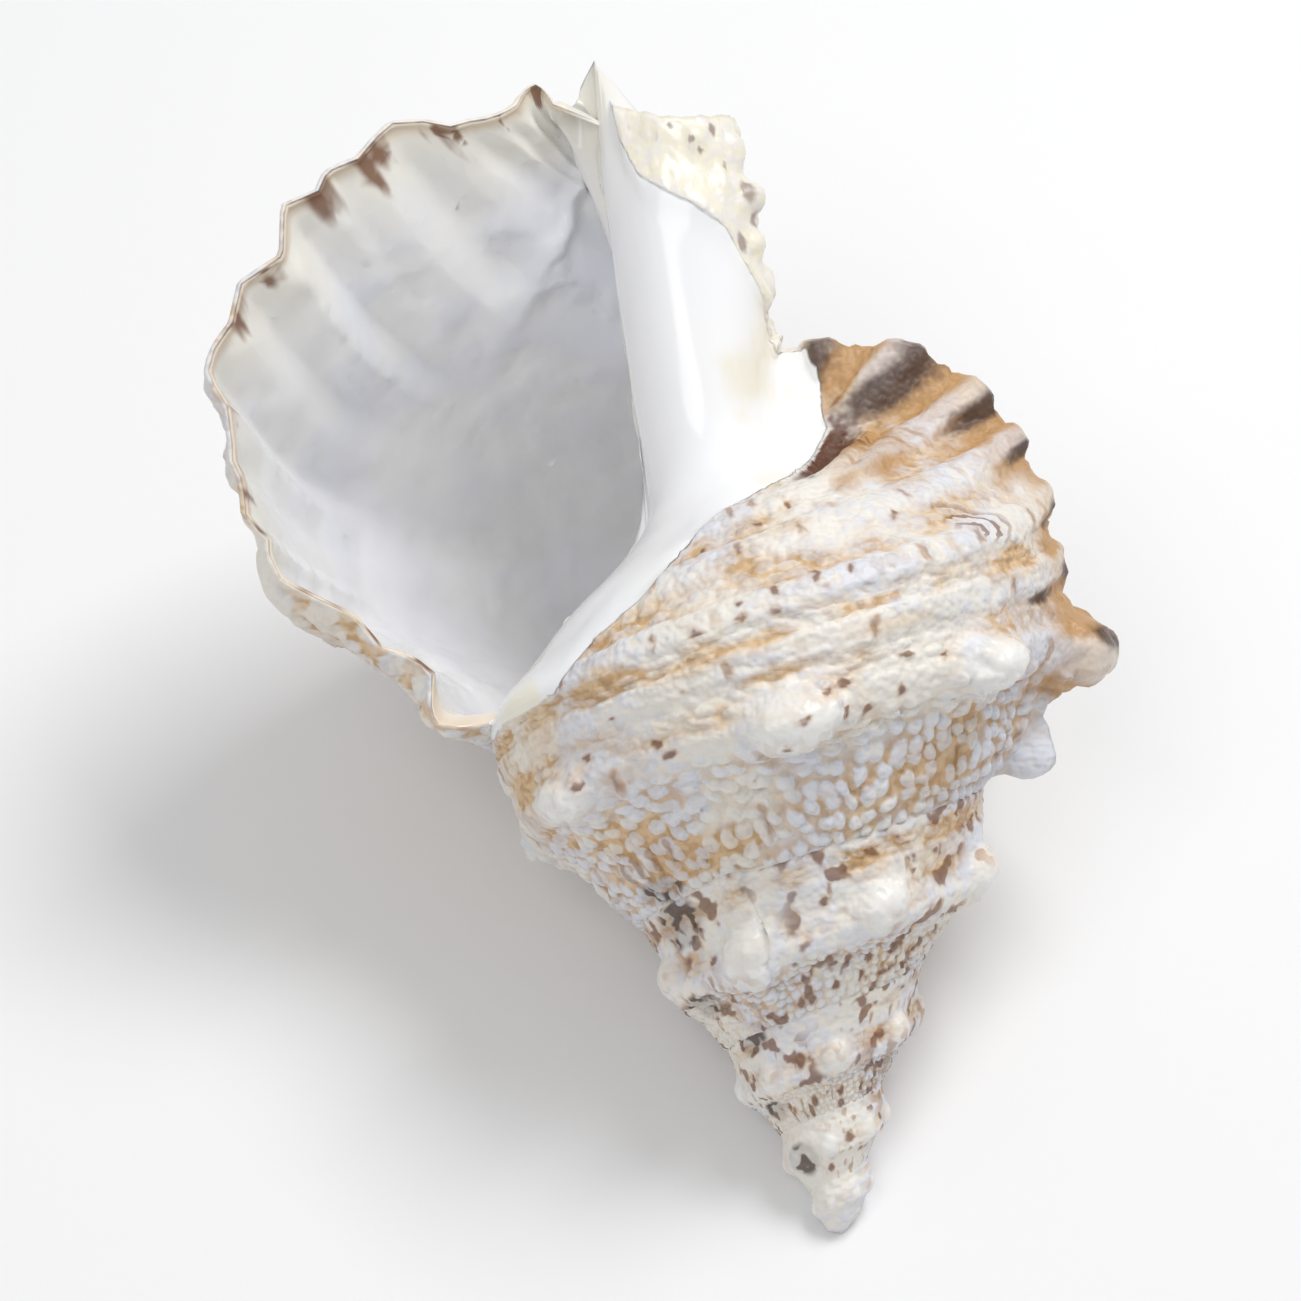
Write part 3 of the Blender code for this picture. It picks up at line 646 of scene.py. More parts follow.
# Nested brown arcs on the ribs behind them: the space between two arcs, and how pointed they are
ARCS = ((-241.0, 1.02, 11.0, 0.13), (-236.0, 1.56, 9.0, 0.10))
ARC_STEP = 0.40
ARC_CORNER = 1.25
ARC_LEAN = 0.6
# Grey-brown spots on the end of the neck
NECK_SPOTS = (
    (-226.0, 2.749, 5.5, 0.040), (-238.0, 2.584, 6.5, 0.036), (-219.0, 2.66, 5.0, 0.030),
    (-259.5, 2.879, 3.4, 0.016), (-266.8, 2.917, 3.0, 0.014), (-243.0, 2.955, 5.0, 0.020),
    (-237.5, 2.835, 3.6, 0.018), (-282.5, 2.966, 4.0, 0.014), (-180.0, 2.70, 8.0, 0.040),
)
# How far the chink's dark colour, painted shade over its brown, spreads past its hollow
CHINK_SPREAD = 1.3
# Distances from the lip are counted up to this many millimetres
FARTHEST_FROM_LIP = 70.0
# Brown marks at the notches of the outer lip: place across, half width, reach into the mouth in mm
LIP_MARKS = (
    (0.19, 0.018, 3.0), (0.27, 0.018, 3.4), (0.33, 0.024, 4.6), (0.38, 0.016, 2.6), (0.56, 0.020, 3.4),
    (0.66, 0.020, 4.4), (0.72, 0.014, 3.0), (0.86, 0.020, 4.0), (0.91, 0.014, 2.8), (1.16, 0.026, 4.6),
    (1.21, 0.014, 3.2), (1.30, 0.026, 4.0), (1.50, 0.030, 6.0), (1.63, 0.028, 6.5), (1.69, 0.016, 3.0),
    (1.86, 0.024, 5.0), (1.91, 0.014, 3.4), (2.12, 0.014, 2.6), (2.60, 0.090, 3.2),
)


def patches(places, growth, across):
    """1 in the middle of the nearest patch, falling to 0 outside it."""
    strongest = np.zeros_like(growth)
    for angle, place, half_turn, half_across in places:
        patch = bump(growth - angle, half_turn) * bump(across - place, half_across)
        strongest = np.maximum(strongest, patch)
    return strongest


def arc_places(growth, across):
    """How many arc steps a point is from the nearest group's corner, and how strong its arcs are."""
    nearest = np.full_like(growth, 9.0)
    ahead = np.zeros_like(growth)
    for angle, place, half_turn, half_across in ARCS:
        along = (growth - angle) / half_turn
        beside = (across - place) / half_across
        away = (np.abs(along)**ARC_CORNER + np.abs(beside)**ARC_CORNER) ** (1.0 / ARC_CORNER)
        toward_lip = along + ARC_LEAN * beside
        ahead = np.where(away < nearest, toward_lip / (away + 0.01), ahead)
        nearest = np.minimum(nearest, away)
    reach = smooth_step(1.5, 0.9, nearest) * smooth_step(0.2, 0.4, nearest) * smooth_step(0.2, 0.7, ahead)
    return nearest / ARC_STEP, reach


def glaze_share(growth, across):
    """1 where the last whorl is glazed, with a soft edge."""
    covered = smooth_step(-0.02, 0.02, beyond_glaze_line(growth, across))
    below_top = 1.0 - smooth_step(-0.03, 0.05, across - table(GLAZE_TOP, growth))
    return covered * below_top * smooth_step(-362.0, -359.0, growth)


def lip_mark_share(growth, across, from_lip):
    """1 at a brown mark of the lip's notches, falling off into the mouth."""
    strongest = np.zeros_like(across)
    for place, half_across, reach in LIP_MARKS:
        mark = bump(across - place, half_across) * smooth_step(reach, 0.2 * reach, from_lip)
        strongest = np.maximum(strongest, mark)
    return strongest * smooth_step(-30.0, -10.0, growth)


def crest_share(growth, angles):
    """1 along the crests of former lips, falling off slowly on their older side."""
    share = np.zeros_like(growth)
    for angle in angles:
        share = np.maximum(share, crest(growth - angle, VARIX_HALF_WIDTH, STAINED_RISE, VARIX_FALL))
    return share


point_growth = straight.values("growth")
point_across = straight.values("across")
point_inside = straight.values("inside")
turn = point_growth / 360.0
outer = 1.0 - point_inside
from_lip = np.clip(-point_growth * straight.values("radius") * math.pi / 180.0, 0.0, FARTHEST_FROM_LIP)
above_top = smooth_step(-0.03, 0.05, point_across - table(GLAZE_TOP, point_growth))
on_neck = above_top * outer * smooth_step(2.0, 2.3, point_across)
arc_phase, arc_reach = arc_places(point_growth, point_across)
beyond_glaze = beyond_glaze_line(point_growth, point_across)
beside_chink = bump(point_growth - CHINK[0], CHINK_SPREAD * CHINK[1]) * smooth_step(0.0, -0.02, beyond_glaze)
# Painted shade: the chink and a little past it take a near-black brown
in_chink = beside_chink * bump(beyond_glaze + CHINK[2], CHINK_SPREAD * CHINK[3])
chink_gold = beside_chink * bump(beyond_glaze + CHINK_GOLD[0], CHINK_GOLD[1])
lip_gold_share = crest_share(point_growth, VARIX_ANGLES[:1]) * smooth_step(0.15, 0.4, point_across)
lip_gold_share *= smooth_step(2.04, 1.97, point_across)
point_values = {
    "turn": turn,
    "rib": rib_number(point_across),
    "size": radius_scale(np.minimum(point_growth, 0.0)),
    "bend": table(AXIS_BEND, straight.values("drop")),
    "inside": point_inside,
    "knob": straight.values("knob"),
    "glaze": np.maximum(glaze_share(point_growth, point_across), point_inside),
    "crest": crest_share(point_growth, VARIX_ANGLES) * outer,
    "from_lip": from_lip,
    "lip_wave": table(LIP_WAVES, point_across),
    "lip_mark": lip_mark_share(point_growth, point_across, from_lip),
    "golden": outer * np.maximum(lip_gold_share, chink_gold),
    "neck": on_neck * smooth_step(-350.0, -330.0, point_growth),
    "hollow": in_chink * outer,
    "arc_phase": arc_phase,
    "arc_reach": arc_reach * outer,
}
painted_places = {"brown": BROWN_MARKS, "dark": DARK_PATCHES, "band": VARIX_BANDS, "gold": GOLD_PATCHES,
                  "worn": WORN_PATCHES, "spot": NECK_SPOTS}
for name, marks in painted_places.items():
    point_values[name] = patches(marks, point_growth, point_across) * outer

straight_mesh = bpy.data.meshes.new("straight_shell")
straight_radius = straight.values("radius") / WIDENING**turn
straight_drop = -straight.values("drop") / LENGTHENING**turn
places = np.stack([turn, straight_radius, straight_drop], axis=-1)
faces = [face for sides in (4, 3) for block in straight.faces[sides] for face in block.tolist()]
straight_mesh.from_pydata(places.tolist(), [], faces)
for name, values in point_values.items():
    attribute = straight_mesh.attributes.new(name, "FLOAT", "POINT")
    attribute.data.foreach_set("value", np.ascontiguousarray(values, np.float32))
corner_rows = [block.reshape(-1, 2) for sides in (4, 3) for block in straight.corners[sides]]
corner_growth, corner_across = np.concatenate(corner_rows).T
corner_uv = np.stack([corner_growth / 360.0, rib_number(corner_across)], axis=-1)
whorl_map = straight_mesh.uv_layers.new(name="whorl_and_rib")
whorl_map.data.foreach_set("uv", corner_uv.astype(np.float32).ravel())
maker = bpy.data.objects.new("shell_maker", straight_mesh)
bpy.context.scene.collection.objects.link(maker)


class Graph:
    """A node tree being filled. Most methods add nodes and return their output.

    The method called node returns the node itself.
    """

    def __init__(self, tree, attribute_node):
        self.tree = tree
        self.attribute_node = attribute_node

    def node(self, kind, inputs=(), **settings):
        made = self.tree.nodes.new(kind)
        for name, value in settings.items():
            setattr(made, name, value)
        for key, value in dict(inputs).items():
            self.feed(value, made.inputs[key])
        return made

    def feed(self, value, socket):
        if isinstance(value, bpy.types.NodeSocket):
            self.tree.links.new(value, socket)
        else:
            socket.default_value = value

    def math(self, operation, *values, clamp=False):
        made = self.node("ShaderNodeMath", dict(enumerate(values)), operation=operation, use_clamp=clamp)
        return made.outputs[0]

    def fold(self, operation, values):
        """One operation over several values, from left to right."""
        result = values[0]
        for value in values[1:]:
            result = self.math(operation, result, value)
        return result

    def add(self, *values):
        return self.fold("ADD", values)

    def times(self, *values):
        return self.fold("MULTIPLY", values)

    def largest(self, *values):
        return self.fold("MAXIMUM", values)

    def less(self, first, second):
        return self.math("SUBTRACT", first, second)

    def rest_of(self, value, amount=1.0):
        """What an amount of a value leaves of 1."""
        taken = value if amount == 1.0 else self.times(value, amount)
        return self.math("SUBTRACT", 1.0, taken, clamp=True)

    def smooth(self, low, high, value):
        """0 below low, 1 above high, and a smooth step between them."""
        inputs = {"Value": value, "From Min": low, "From Max": high}
        return self.node("ShaderNodeMapRange", inputs, interpolation_type="SMOOTHSTEP").outputs[0]

    def fall(self, low, high, value):
        """1 below low, 0 above high, and a smooth step between them."""
        return self.rest_of(self.smooth(low, high, value))

    def window(self, edges, value):
        """0 outside the first and the last of four edges, and 1 between the middle two."""
        start, full, ending, end = edges
        return self.times(self.smooth(start, full, value), self.fall(ending, end, value))

    def wave(self, value):
        """A cosine of one period for each whole number, from -1 to 1."""
        return self.math("COSINE", self.times(value, 2.0 * math.pi))

    def join(self, x, y):
        return self.node("ShaderNodeCombineXYZ", {"X": x, "Y": y}).outputs[0]

    def noise(self, vector, scale, detail, roughness=0.5):
        inputs = {"Vector": vector, "Scale": scale, "Detail": detail, "Roughness": roughness}
        return self.node("ShaderNodeTexNoise", inputs).outputs["Fac"]

    def attribute(self, name):
        if self.attribute_node == "ShaderNodeAttribute":
            return self.node("ShaderNodeAttribute", attribute_name=name).outputs["Fac"]
        made = self.node("GeometryNodeInputNamedAttribute", {"Name": name}, data_type="FLOAT")
        return made.outputs["Attribute"]


BEADS_PER_WHORL = 74.0
BEAD_ROWS_PER_RIB = 6.0
RAMP_ROWS_SHARE = 0.90
BEAD_TOP = 0.16
BEAD_FOOT = 0.62


def bead_dome(graph, beads, rows, whorl, rib, slow, quick):
    """1 on a granule and 0 between granules, which stand in rows that wander a little."""
    ramp_row = graph.times(rows, graph.add(graph.times(graph.less(rib, 1.0), RAMP_ROWS_SHARE), 1.0))
    plain_row = graph.largest(graph.times(rib, rows), ramp_row)
    row = graph.add(plain_row, graph.times(slow, 1.8), graph.times(quick, 0.25))
    along = graph.add(graph.times(whorl, beads), graph.times(row, 0.3), graph.times(slow, 1.3))
    inputs = {"Vector": graph.join(along, row), "Scale": 1.0, "Randomness": 0.6}
    cells = graph.node("ShaderNodeTexVoronoi", inputs, voronoi_dimensions="2D")
    return graph.fall(BEAD_TOP, BEAD_FOOT, cells.outputs["Distance"])


def rib_tops(graph, rib, slow):
    """1 along the top of each rib and 0 along the valleys between, which wander a little."""
    return graph.add(0.5, graph.times(graph.wave(graph.add(rib, graph.times(slow, 0.30))), 0.5))


# The growing rule as a node tree: it coils the straight shell, then raises the knobs, ribs and granules
# that repeat from whorl to whorl, and the soft folds of the glazed inside
COIL_INPUTS = (
    ("Widening per whorl", WIDENING),
    ("Lengthening per whorl", LENGTHENING),
    ("Lip direction", LIP_DIRECTION),
    ("Knob height", KNOB_HEIGHT),
    ("Knob cap height", 4.4),
    ("Rib height", 1.5),
    ("Bead height", 1.5),
    ("Beads per whorl", BEADS_PER_WHORL),
    ("Bead rows per rib", BEAD_ROWS_PER_RIB),
    ("Fold height", 0.55),
    ("Inner ridge height", 1.8),
    ("Wear depth", 1.3),
    ("Neck lump height", 1.3),
)
# Three grains of unevenness, in patches per millimetre
BROAD_GRAIN = 0.038
SLOW_GRAIN = 0.11
QUICK_GRAIN = 0.42
# Where each kind of relief fades in and out: by rib number, then by distance from the lip
RAMP_RIBS = (-0.9, -0.6, 0.70, 1.10)
FLANK_RIBS = (0.6, 1.0, 8.6, 9.4)
INNER_RIDGE_RIBS = (5.0, 6.5, 9.0, 10.5)
SHARP_RIBS_FROM_LIP = (14.0, 32.0, 35.0, 68.0)
FOLDS_FROM_LIP = (0.0, 4.0, 18.0, 62.0)
# The ridge across the inside: growth angle, how far it wanders, sharpness
INNER_RIDGE = (-45.0, 20.0, 0.03)

coil_tree = bpy.data.node_groups.new("coiled_shell", "GeometryNodeTree")
coil_tree.interface.new_socket("Straight shell", in_out="INPUT", socket_type="NodeSocketGeometry")
for label, value in COIL_INPUTS:
    coil_tree.interface.new_socket(label, in_out="INPUT", socket_type="NodeSocketFloat").default_value = value
coil_tree.interface.new_socket("Finish", in_out="INPUT", socket_type="NodeSocketMaterial")
coil_tree.interface.new_socket("Shell", in_out="OUTPUT", socket_type="NodeSocketGeometry")
coil = Graph(coil_tree, "GeometryNodeInputNamedAttribute")
given = coil.node("NodeGroupInput").outputs
whorl, rib, scale, inside, glazed, knob, worn, lip_distance = (
    coil.attribute(name) for name in ("turn", "rib", "size", "inside", "glaze", "knob", "worn", "from_lip"))

straight_place = coil.node("GeometryNodeInputPosition").outputs[0]
turns, plain_reach, plain_drop = coil.node("ShaderNodeSeparateXYZ", {0: straight_place}).outputs
around = coil.math("RADIANS", coil.less(given["Lip direction"], coil.times(turns, 360.0)))
reach = coil.times(plain_reach, coil.math("POWER", given["Widening per whorl"], turns))
coiled_place = coil.node("ShaderNodeCombineXYZ", {
    "X": coil.add(coil.times(reach, coil.math("COSINE", around)), coil.attribute("bend")),
    "Y": coil.times(reach, coil.math("SINE", around)),
    "Z": coil.times(plain_drop, coil.math("POWER", given["Lengthening per whorl"], turns)),
}).outputs[0]
coiled = coil.node("GeometryNodeSetPosition", {"Geometry": given["Straight shell"], "Position": coiled_place})

place = coil.node("GeometryNodeInputPosition").outputs[0]
normal = coil.node("GeometryNodeInputNormal").outputs[0]
broad = coil.noise(place, BROAD_GRAIN, 3.0)
slow = coil.less(coil.noise(place, SLOW_GRAIN, 3.0), 0.5)
quick = coil.less(coil.noise(place, QUICK_GRAIN, 2.0), 0.5)
chalky = coil.times(coil.rest_of(inside), coil.rest_of(glazed))
off_the_edge = coil.smooth(0.3, 3.5, lip_distance)
beside_knob = coil.rest_of(coil.smooth(0.2, 0.8, knob), 0.8)
bumpy = coil.times(chalky, off_the_edge, beside_knob, coil.rest_of(worn, 0.7))
ramp = coil.window(RAMP_RIBS, rib)
flank = coil.window(FLANK_RIBS, rib)
rib_top = rib_tops(coil, rib, slow)
near_lip = coil.times(coil.window(SHARP_RIBS_FROM_LIP, lip_distance), flank)
rib_gain = coil.add(0.25, coil.times(flank, 0.75), coil.times(coil.attribute("crest"), 0.8),
                    coil.times(near_lip, 0.4))
rib_part = coil.times(given["Rib height"], scale, coil.smooth(0.15, 0.85, rib_top), rib_gain)

dome = bead_dome(coil, given["Beads per whorl"], given["Bead rows per rib"], whorl, rib, slow, quick)
between_ribs = coil.add(0.18, coil.times(coil.rest_of(rib_top), 0.60))
granular = coil.largest(ramp, coil.times(flank, between_ribs, coil.add(0.6, coil.times(slow, 2.0))))
granular = coil.times(granular, coil.smooth(0.10, 0.22, scale))
bead_part = coil.times(given["Bead height"], dome, granular, coil.math("POWER", scale, 0.8))

knob_height = coil.times(given["Knob height"], knob, coil.math("POWER", scale, 0.95))
cap_shape = coil.smooth(0.30, 1.0, coil.add(knob, coil.times(quick, 0.8)))
knob_cap = coil.times(given["Knob cap height"], cap_shape, coil.math("POWER", scale, 1.15))
knob_part = coil.times(coil.add(knob_height, knob_cap), coil.rest_of(inside))
wear_shape = coil.add(slow, coil.times(quick, 0.5))
wear_part = coil.times(given["Wear depth"], wear_shape, chalky, off_the_edge, scale)
lump_shape = coil.add(coil.times(quick, 0.5), coil.times(slow, 2.0))
lump_part = coil.times(given["Neck lump height"], lump_shape, coil.attribute("neck"))

fold_fade = coil.times(coil.window(FOLDS_FROM_LIP, lip_distance), inside)
fold_shape = coil.less(coil.times(coil.wave(coil.add(rib, coil.times(slow, 0.6))), -0.9),
                       coil.less(coil.attribute("lip_wave"), 1.3))
fold_part = coil.times(given["Fold height"], fold_shape, fold_fade)
ridge_growth, ridge_wander, ridge_sharpness = INNER_RIDGE
from_ridge = coil.add(coil.times(whorl, 360.0), -ridge_growth, coil.times(slow, ridge_wander))
ridge_shape = coil.math("EXPONENT", coil.times(from_ridge, from_ridge, -ridge_sharpness))
ridge_fade = coil.times(coil.window(INNER_RIDGE_RIBS, rib), inside)
ridge_part = coil.times(given["Inner ridge height"], ridge_shape, ridge_fade)
inner_waves = coil.times(slow, 1.6, inside, coil.smooth(2.0, 12.0, lip_distance))

height = coil.add(coil.times(coil.add(rib_part, bead_part), bumpy), knob_part, wear_part, lump_part,
                  fold_part, ridge_part, inner_waves)
offset = coil.node("ShaderNodeVectorMath", {0: normal, "Scale": height}, operation="SCALE").outputs[0]
shaped = coil.node("GeometryNodeSetPosition", {"Geometry": coiled.outputs[0], "Offset": offset})
kept_values = {"broad": broad, "slow": slow, "quick": quick, "granular": granular}
for name, value in kept_values.items():
    shaped = coil.node("GeometryNodeStoreNamedAttribute",
                       {"Geometry": shaped.outputs[0], "Name": name, "Value": value}, data_type="FLOAT")
real = coil.node("GeometryNodeRealizeInstances", {0: shaped.outputs[0]})
finished = coil.node("GeometryNodeSetMaterial", {"Geometry": real.outputs[0], "Material": given["Finish"]})
coil.node("NodeGroupOutput", {"Shell": finished.outputs[0]})

# The finish: dry chalk outside, white with golden stain in its low places and brown marks on its ribs,
# and a smooth white glaze inside that is lavender down the mouth. Painted shade darkens the gaps between
# granules, the chink and the deep mouth, and a painted highlight lightens the former lip's rib tops.
# Grains are in patches per metre
CHALK_WARM = (0.85, 0.81, 0.74, 1.0)
CHALK_COOL = (0.75, 0.77, 0.83, 1.0)
KNOB_WHITE = (0.88, 0.87, 0.84, 1.0)
STAIN = (0.56, 0.34, 0.14, 1.0)
GOLD = (0.72, 0.49, 0.26, 1.0)
LIP_GOLD = (0.52, 0.29, 0.11, 1.0)
BROWN = (0.20, 0.075, 0.025, 1.0)
LIGHT_BROWN = (0.48, 0.25, 0.09, 1.0)
DARK_BROWN = (0.070, 0.035, 0.025, 1.0)
# Dark brown of the chink, deepened as painted shade
CHINK_SHADE_BROWN = (0.12, 0.042, 0.018, 1.0)
GREY_BROWN = (0.34, 0.26, 0.23, 1.0)
NECK_CREAM = (0.88, 0.83, 0.68, 1.0)
GLAZE_WHITE = (0.95, 0.95, 0.95, 1.0)
GLAZE_CREAM = (0.90, 0.85, 0.70, 1.0)
GLAZE_LAVENDER = (0.87, 0.88, 0.94, 1.0)
# The grey of the painted shade deep in the mouth
GLAZE_SHADE_GREY = (0.88, 0.86, 0.84, 1.0)
FINE_GRAIN = 460.0
NET_GRAIN = 300.0
MOST_STAIN = 0.92
DASHES_PER_WHORL = 52.0
# Where the marks end at the bare apex, and where the spire's streaks start, in whorls from the lip
BARE_APEX = (-3.95, -3.60)
STREAKS_START = (-1.02, -1.10)
CHALK_ROUGHNESS = 0.55
KNOB_POLISH = 0.22
NECK_POLISH = 0.20
GLAZE_ROUGHNESS = 0.15
LIME_IOR = 1.53
# The chalk's fine grain: its height as a share of its depth, its depth in metres, and its strength
SKIN_RELIEF = 1.6
SKIN_DEPTH = 0.0006
SKIN_STRENGTH = 0.9

finish = bpy.data.materials.new("shell_finish")
finish.use_nodes = True
look = Graph(finish.node_tree, "ShaderNodeAttribute")
surface = finish.node_tree.nodes["Principled BSDF"]

spot = look.node("ShaderNodeTexCoord").outputs["Object"]
whorl_and_rib = look.node("ShaderNodeUVMap", uv_map="whorl_and_rib").outputs[0]
whorl, rib = look.node("ShaderNodeSeparateXYZ", {0: whorl_and_rib}).outputs[:2]
knob, neck, inside, lip_distance = (look.attribute(name) for name in ("knob", "neck", "inside", "from_lip"))
broad, slow, quick, granular = (look.attribute(name) for name in ("broad", "slow", "quick", "granular"))
glazed = look.smooth(0.35, 0.65, look.attribute("glaze"))
chalk_left = look.rest_of(look.attribute("worn"))
fine = look.noise(spot, FINE_GRAIN, 1.0, 0.7)
ragged = look.less(fine, 0.5)
dome = bead_dome(look, BEADS_PER_WHORL, BEAD_ROWS_PER_RIB, whorl, rib, slow, quick)
rib_top = rib_tops(look, rib, slow)


def blend(share, first, second):
    """One colour turning into another."""
    made = look.node("ShaderNodeMix", {0: share, 6: first, 7: second}, data_type="RGBA")
    return made.outputs[2]


def painted(ground, *coats):
    """A ground colour under coats of paint, each with its own share and colour."""
    for share, paint in coats:
        ground = blend(share, ground, paint)
    return ground


def frayed(value, low, high, fray=0.0, bend=0.0):
    """0 to 1 as a value goes from low to high, along an edge that is finely frayed and slowly bent."""
    for grain, amount in ((ragged, fray), (slow, bend)):
        if amount:
            value = look.add(value, look.times(grain, amount))
    return look.smooth(low, high, value)


# Chalk, the golden stain between granules and along the valleys between ribs, and painted shade between all
# granules
chalk = blend(frayed(broad, 0.42, 0.60, fray=0.35), CHALK_WARM, CHALK_COOL)
chalk = blend(look.smooth(0.40, 0.75, knob), chalk, KNOB_WHITE)
between = look.times(look.fall(0.10, 0.55, dome), granular)
valley = look.times(look.fall(0.25, 0.70, rib_top), look.smooth(0.7, 1.2, rib))
patchy = frayed(look.times(look.less(broad, 0.5), 0.7), -0.12, 0.14, bend=0.6)
placed_gold = frayed(look.attribute("gold"), 0.05, 0.80, fray=0.7, bend=0.4)
placed_depth = look.add(0.34, look.times(between, 0.6), look.times(valley, 0.3))
patchy_depth = look.add(look.times(between, 0.55), look.times(valley, 0.55), 0.06)
# Painted shade: the last share darkens the gaps between granules everywhere, whether they are stained or not
stain_and_shade_share = look.add(look.times(placed_gold, placed_depth), look.times(patchy, patchy_depth),
                       look.times(between, 0.18))
stain_and_shade_share = look.math("MINIMUM", look.times(stain_and_shade_share, look.rest_of(knob, 0.8), chalk_left), MOST_STAIN)
stain = blend(look.smooth(0.40, 0.62, look.add(fine, look.times(quick, 0.5))), GOLD, STAIN)
stained = blend(stain_and_shade_share, chalk, stain)

# Short brown dashes sit on the ribs, each with its own strength, and brown streaks run between the
# knobs of the spire
dash_place = look.times(look.add(whorl, look.times(slow, 0.010)), DASHES_PER_WHORL)
dash_cell = look.math("FLOOR", dash_place)
dash_rib = look.math("ROUND", rib)
dash_chance = look.node("ShaderNodeTexWhiteNoise", {"Vector": look.join(dash_cell, dash_rib)},
                        noise_dimensions="2D").outputs["Value"]
dash_across = look.math("ABSOLUTE", look.less(look.add(rib, look.times(ragged, 0.25)), dash_rib))
dash_along = look.math("ABSOLUTE", look.less(look.less(dash_place, dash_cell), 0.5))
dash_form = look.times(look.rest_of(frayed(dash_along, 0.05, 0.22, fray=0.35)),
                       look.fall(0.08, 0.24, dash_across))
below_apex = look.smooth(*BARE_APEX, whorl)
dashes = look.times(dash_form, look.smooth(0.66, 0.84, dash_chance), look.fall(0.2, 0.5, knob), below_apex)
placed = frayed(look.attribute("brown"), 0.16, 0.75, fray=0.9)
on_spire = look.times(look.smooth(*STREAKS_START, whorl), below_apex)
streak = look.noise(look.join(look.times(whorl, 34.0), look.times(rib, 1.5)), 1.0, 1.0, 0.6)
streaks = look.times(frayed(streak, 0.54, 0.64, fray=0.25), on_spire, look.fall(0.10, 0.40, knob))
net = look.smooth(0.52, 0.60, look.noise(spot, NET_GRAIN, 1.0, 0.6))
speckle = look.times(net, look.smooth(0.50, 0.60, broad), 0.55)
mark_share = look.largest(look.times(dashes, 0.65), look.times(placed, 0.85), look.times(streaks, 0.8),
                          look.times(speckle, look.add(0.35, look.times(on_spire, 0.65))))
mark_depth = look.smooth(0.35, 0.80, look.times(mark_share, look.add(fine, 0.5)))
marked = blend(look.times(mark_share, chalk_left), stained, blend(mark_depth, LIGHT_BROWN, BROWN))

# Over that lie dark netted patches, the golden former lip with painted highlights on its rib tops and its
# dark bands, brown arcs, the chink darkened by painted shade over its brown, and the creamy spotted neck
patch = frayed(look.attribute("dark"), 0.25, 0.6, bend=0.6)
# Painted highlight: the gold is thinner on the rib tops, so they stand lighter
lip_gold_with_highlit_tops = look.times(frayed(look.attribute("golden"), 0.20, 0.70, fray=0.3, bend=0.5),
                      look.add(0.95, look.times(look.smooth(0.45, 0.90, rib_top), -0.55)), chalk_left)
band = frayed(look.attribute("band"), 0.10, 0.80, fray=0.45, bend=0.8)
arc_wave = look.wave(look.add(look.attribute("arc_phase"), look.times(ragged, 0.8), look.times(slow, 2.0)))
arcs = look.times(look.smooth(0.15, 0.65, arc_wave), look.attribute("arc_reach"))
hollow = frayed(look.attribute("hollow"), 0.15, 0.60, fray=0.4)
neck_ground = blend(frayed(fine, 0.44, 0.58, bend=0.5), NECK_CREAM, CHALK_WARM)
neck_spots = look.times(frayed(look.attribute("spot"), 0.25, 0.70, fray=0.4), 0.85)
outside_colour = painted(
    marked,
    (look.times(patch, look.add(0.30, look.times(net, 0.6))), DARK_BROWN),
    (lip_gold_with_highlit_tops, LIP_GOLD),
    (look.times(band, 0.92), DARK_BROWN),
    (look.times(arcs, 0.75), BROWN),
    # Painted shade over brown in the chink
    (hollow, CHINK_SHADE_BROWN),
    (neck, blend(neck_spots, neck_ground, GREY_BROWN)),
)

# The glaze is white, creamy near the lip and where it is thick, lavender in clouds, and greyer down the
# mouth with painted shade, with a tan rim and brown marks at the lip's notches
cloud = look.add(look.times(look.less(broad, 0.5), 0.7), look.times(slow, 0.3))
lavender = look.times(look.smooth(-0.06, 0.10, cloud), look.add(0.25, look.times(inside, 0.75)))
thick = look.smooth(0.02, 0.10, look.less(0.47, broad))
creamy = look.largest(look.times(look.fall(1.0, 16.0, lip_distance), inside, 0.55),
                      look.times(look.rest_of(inside), thick, 0.8))
# Painted shade: the glaze greys the deeper it lies in the mouth
painted_mouth_shade = look.times(look.smooth(22.0, 66.0, lip_distance), inside, 0.45)
rim_tan = look.times(look.fall(0.0, 1.4, lip_distance), 0.45)
mark_streak = look.noise(look.join(look.times(rib, 9.0), look.times(whorl, 14.0)), 1.0, 0.0)
lip_mark_place = look.attribute("lip_mark")
lip_mark = look.smooth(0.15, 0.80, look.add(lip_mark_place, look.less(mark_streak, 0.5)))
lip_mark = look.times(lip_mark, look.smooth(0.02, 0.15, lip_mark_place), 0.9)
mouth_colour = painted(
    GLAZE_WHITE,
    (lavender, GLAZE_LAVENDER),
    (creamy, GLAZE_CREAM),
    (painted_mouth_shade, GLAZE_SHADE_GREY),
    (rim_tan, GOLD),
    (lip_mark, BROWN),
)
look.feed(blend(glazed, outside_colour, mouth_colour), surface.inputs["Base Color"])

chalk_rough = look.add(CHALK_ROUGHNESS, look.times(ragged, 0.30), look.times(knob, -KNOB_POLISH),
                       look.times(neck, -NECK_POLISH))
glaze_rough = look.add(GLAZE_ROUGHNESS, look.times(slow, 0.2))
rough = look.add(look.times(chalk_rough, look.rest_of(glazed)), look.times(glazed, glaze_rough))
look.feed(rough, surface.inputs["Roughness"])
surface.inputs["IOR"].default_value = LIME_IOR

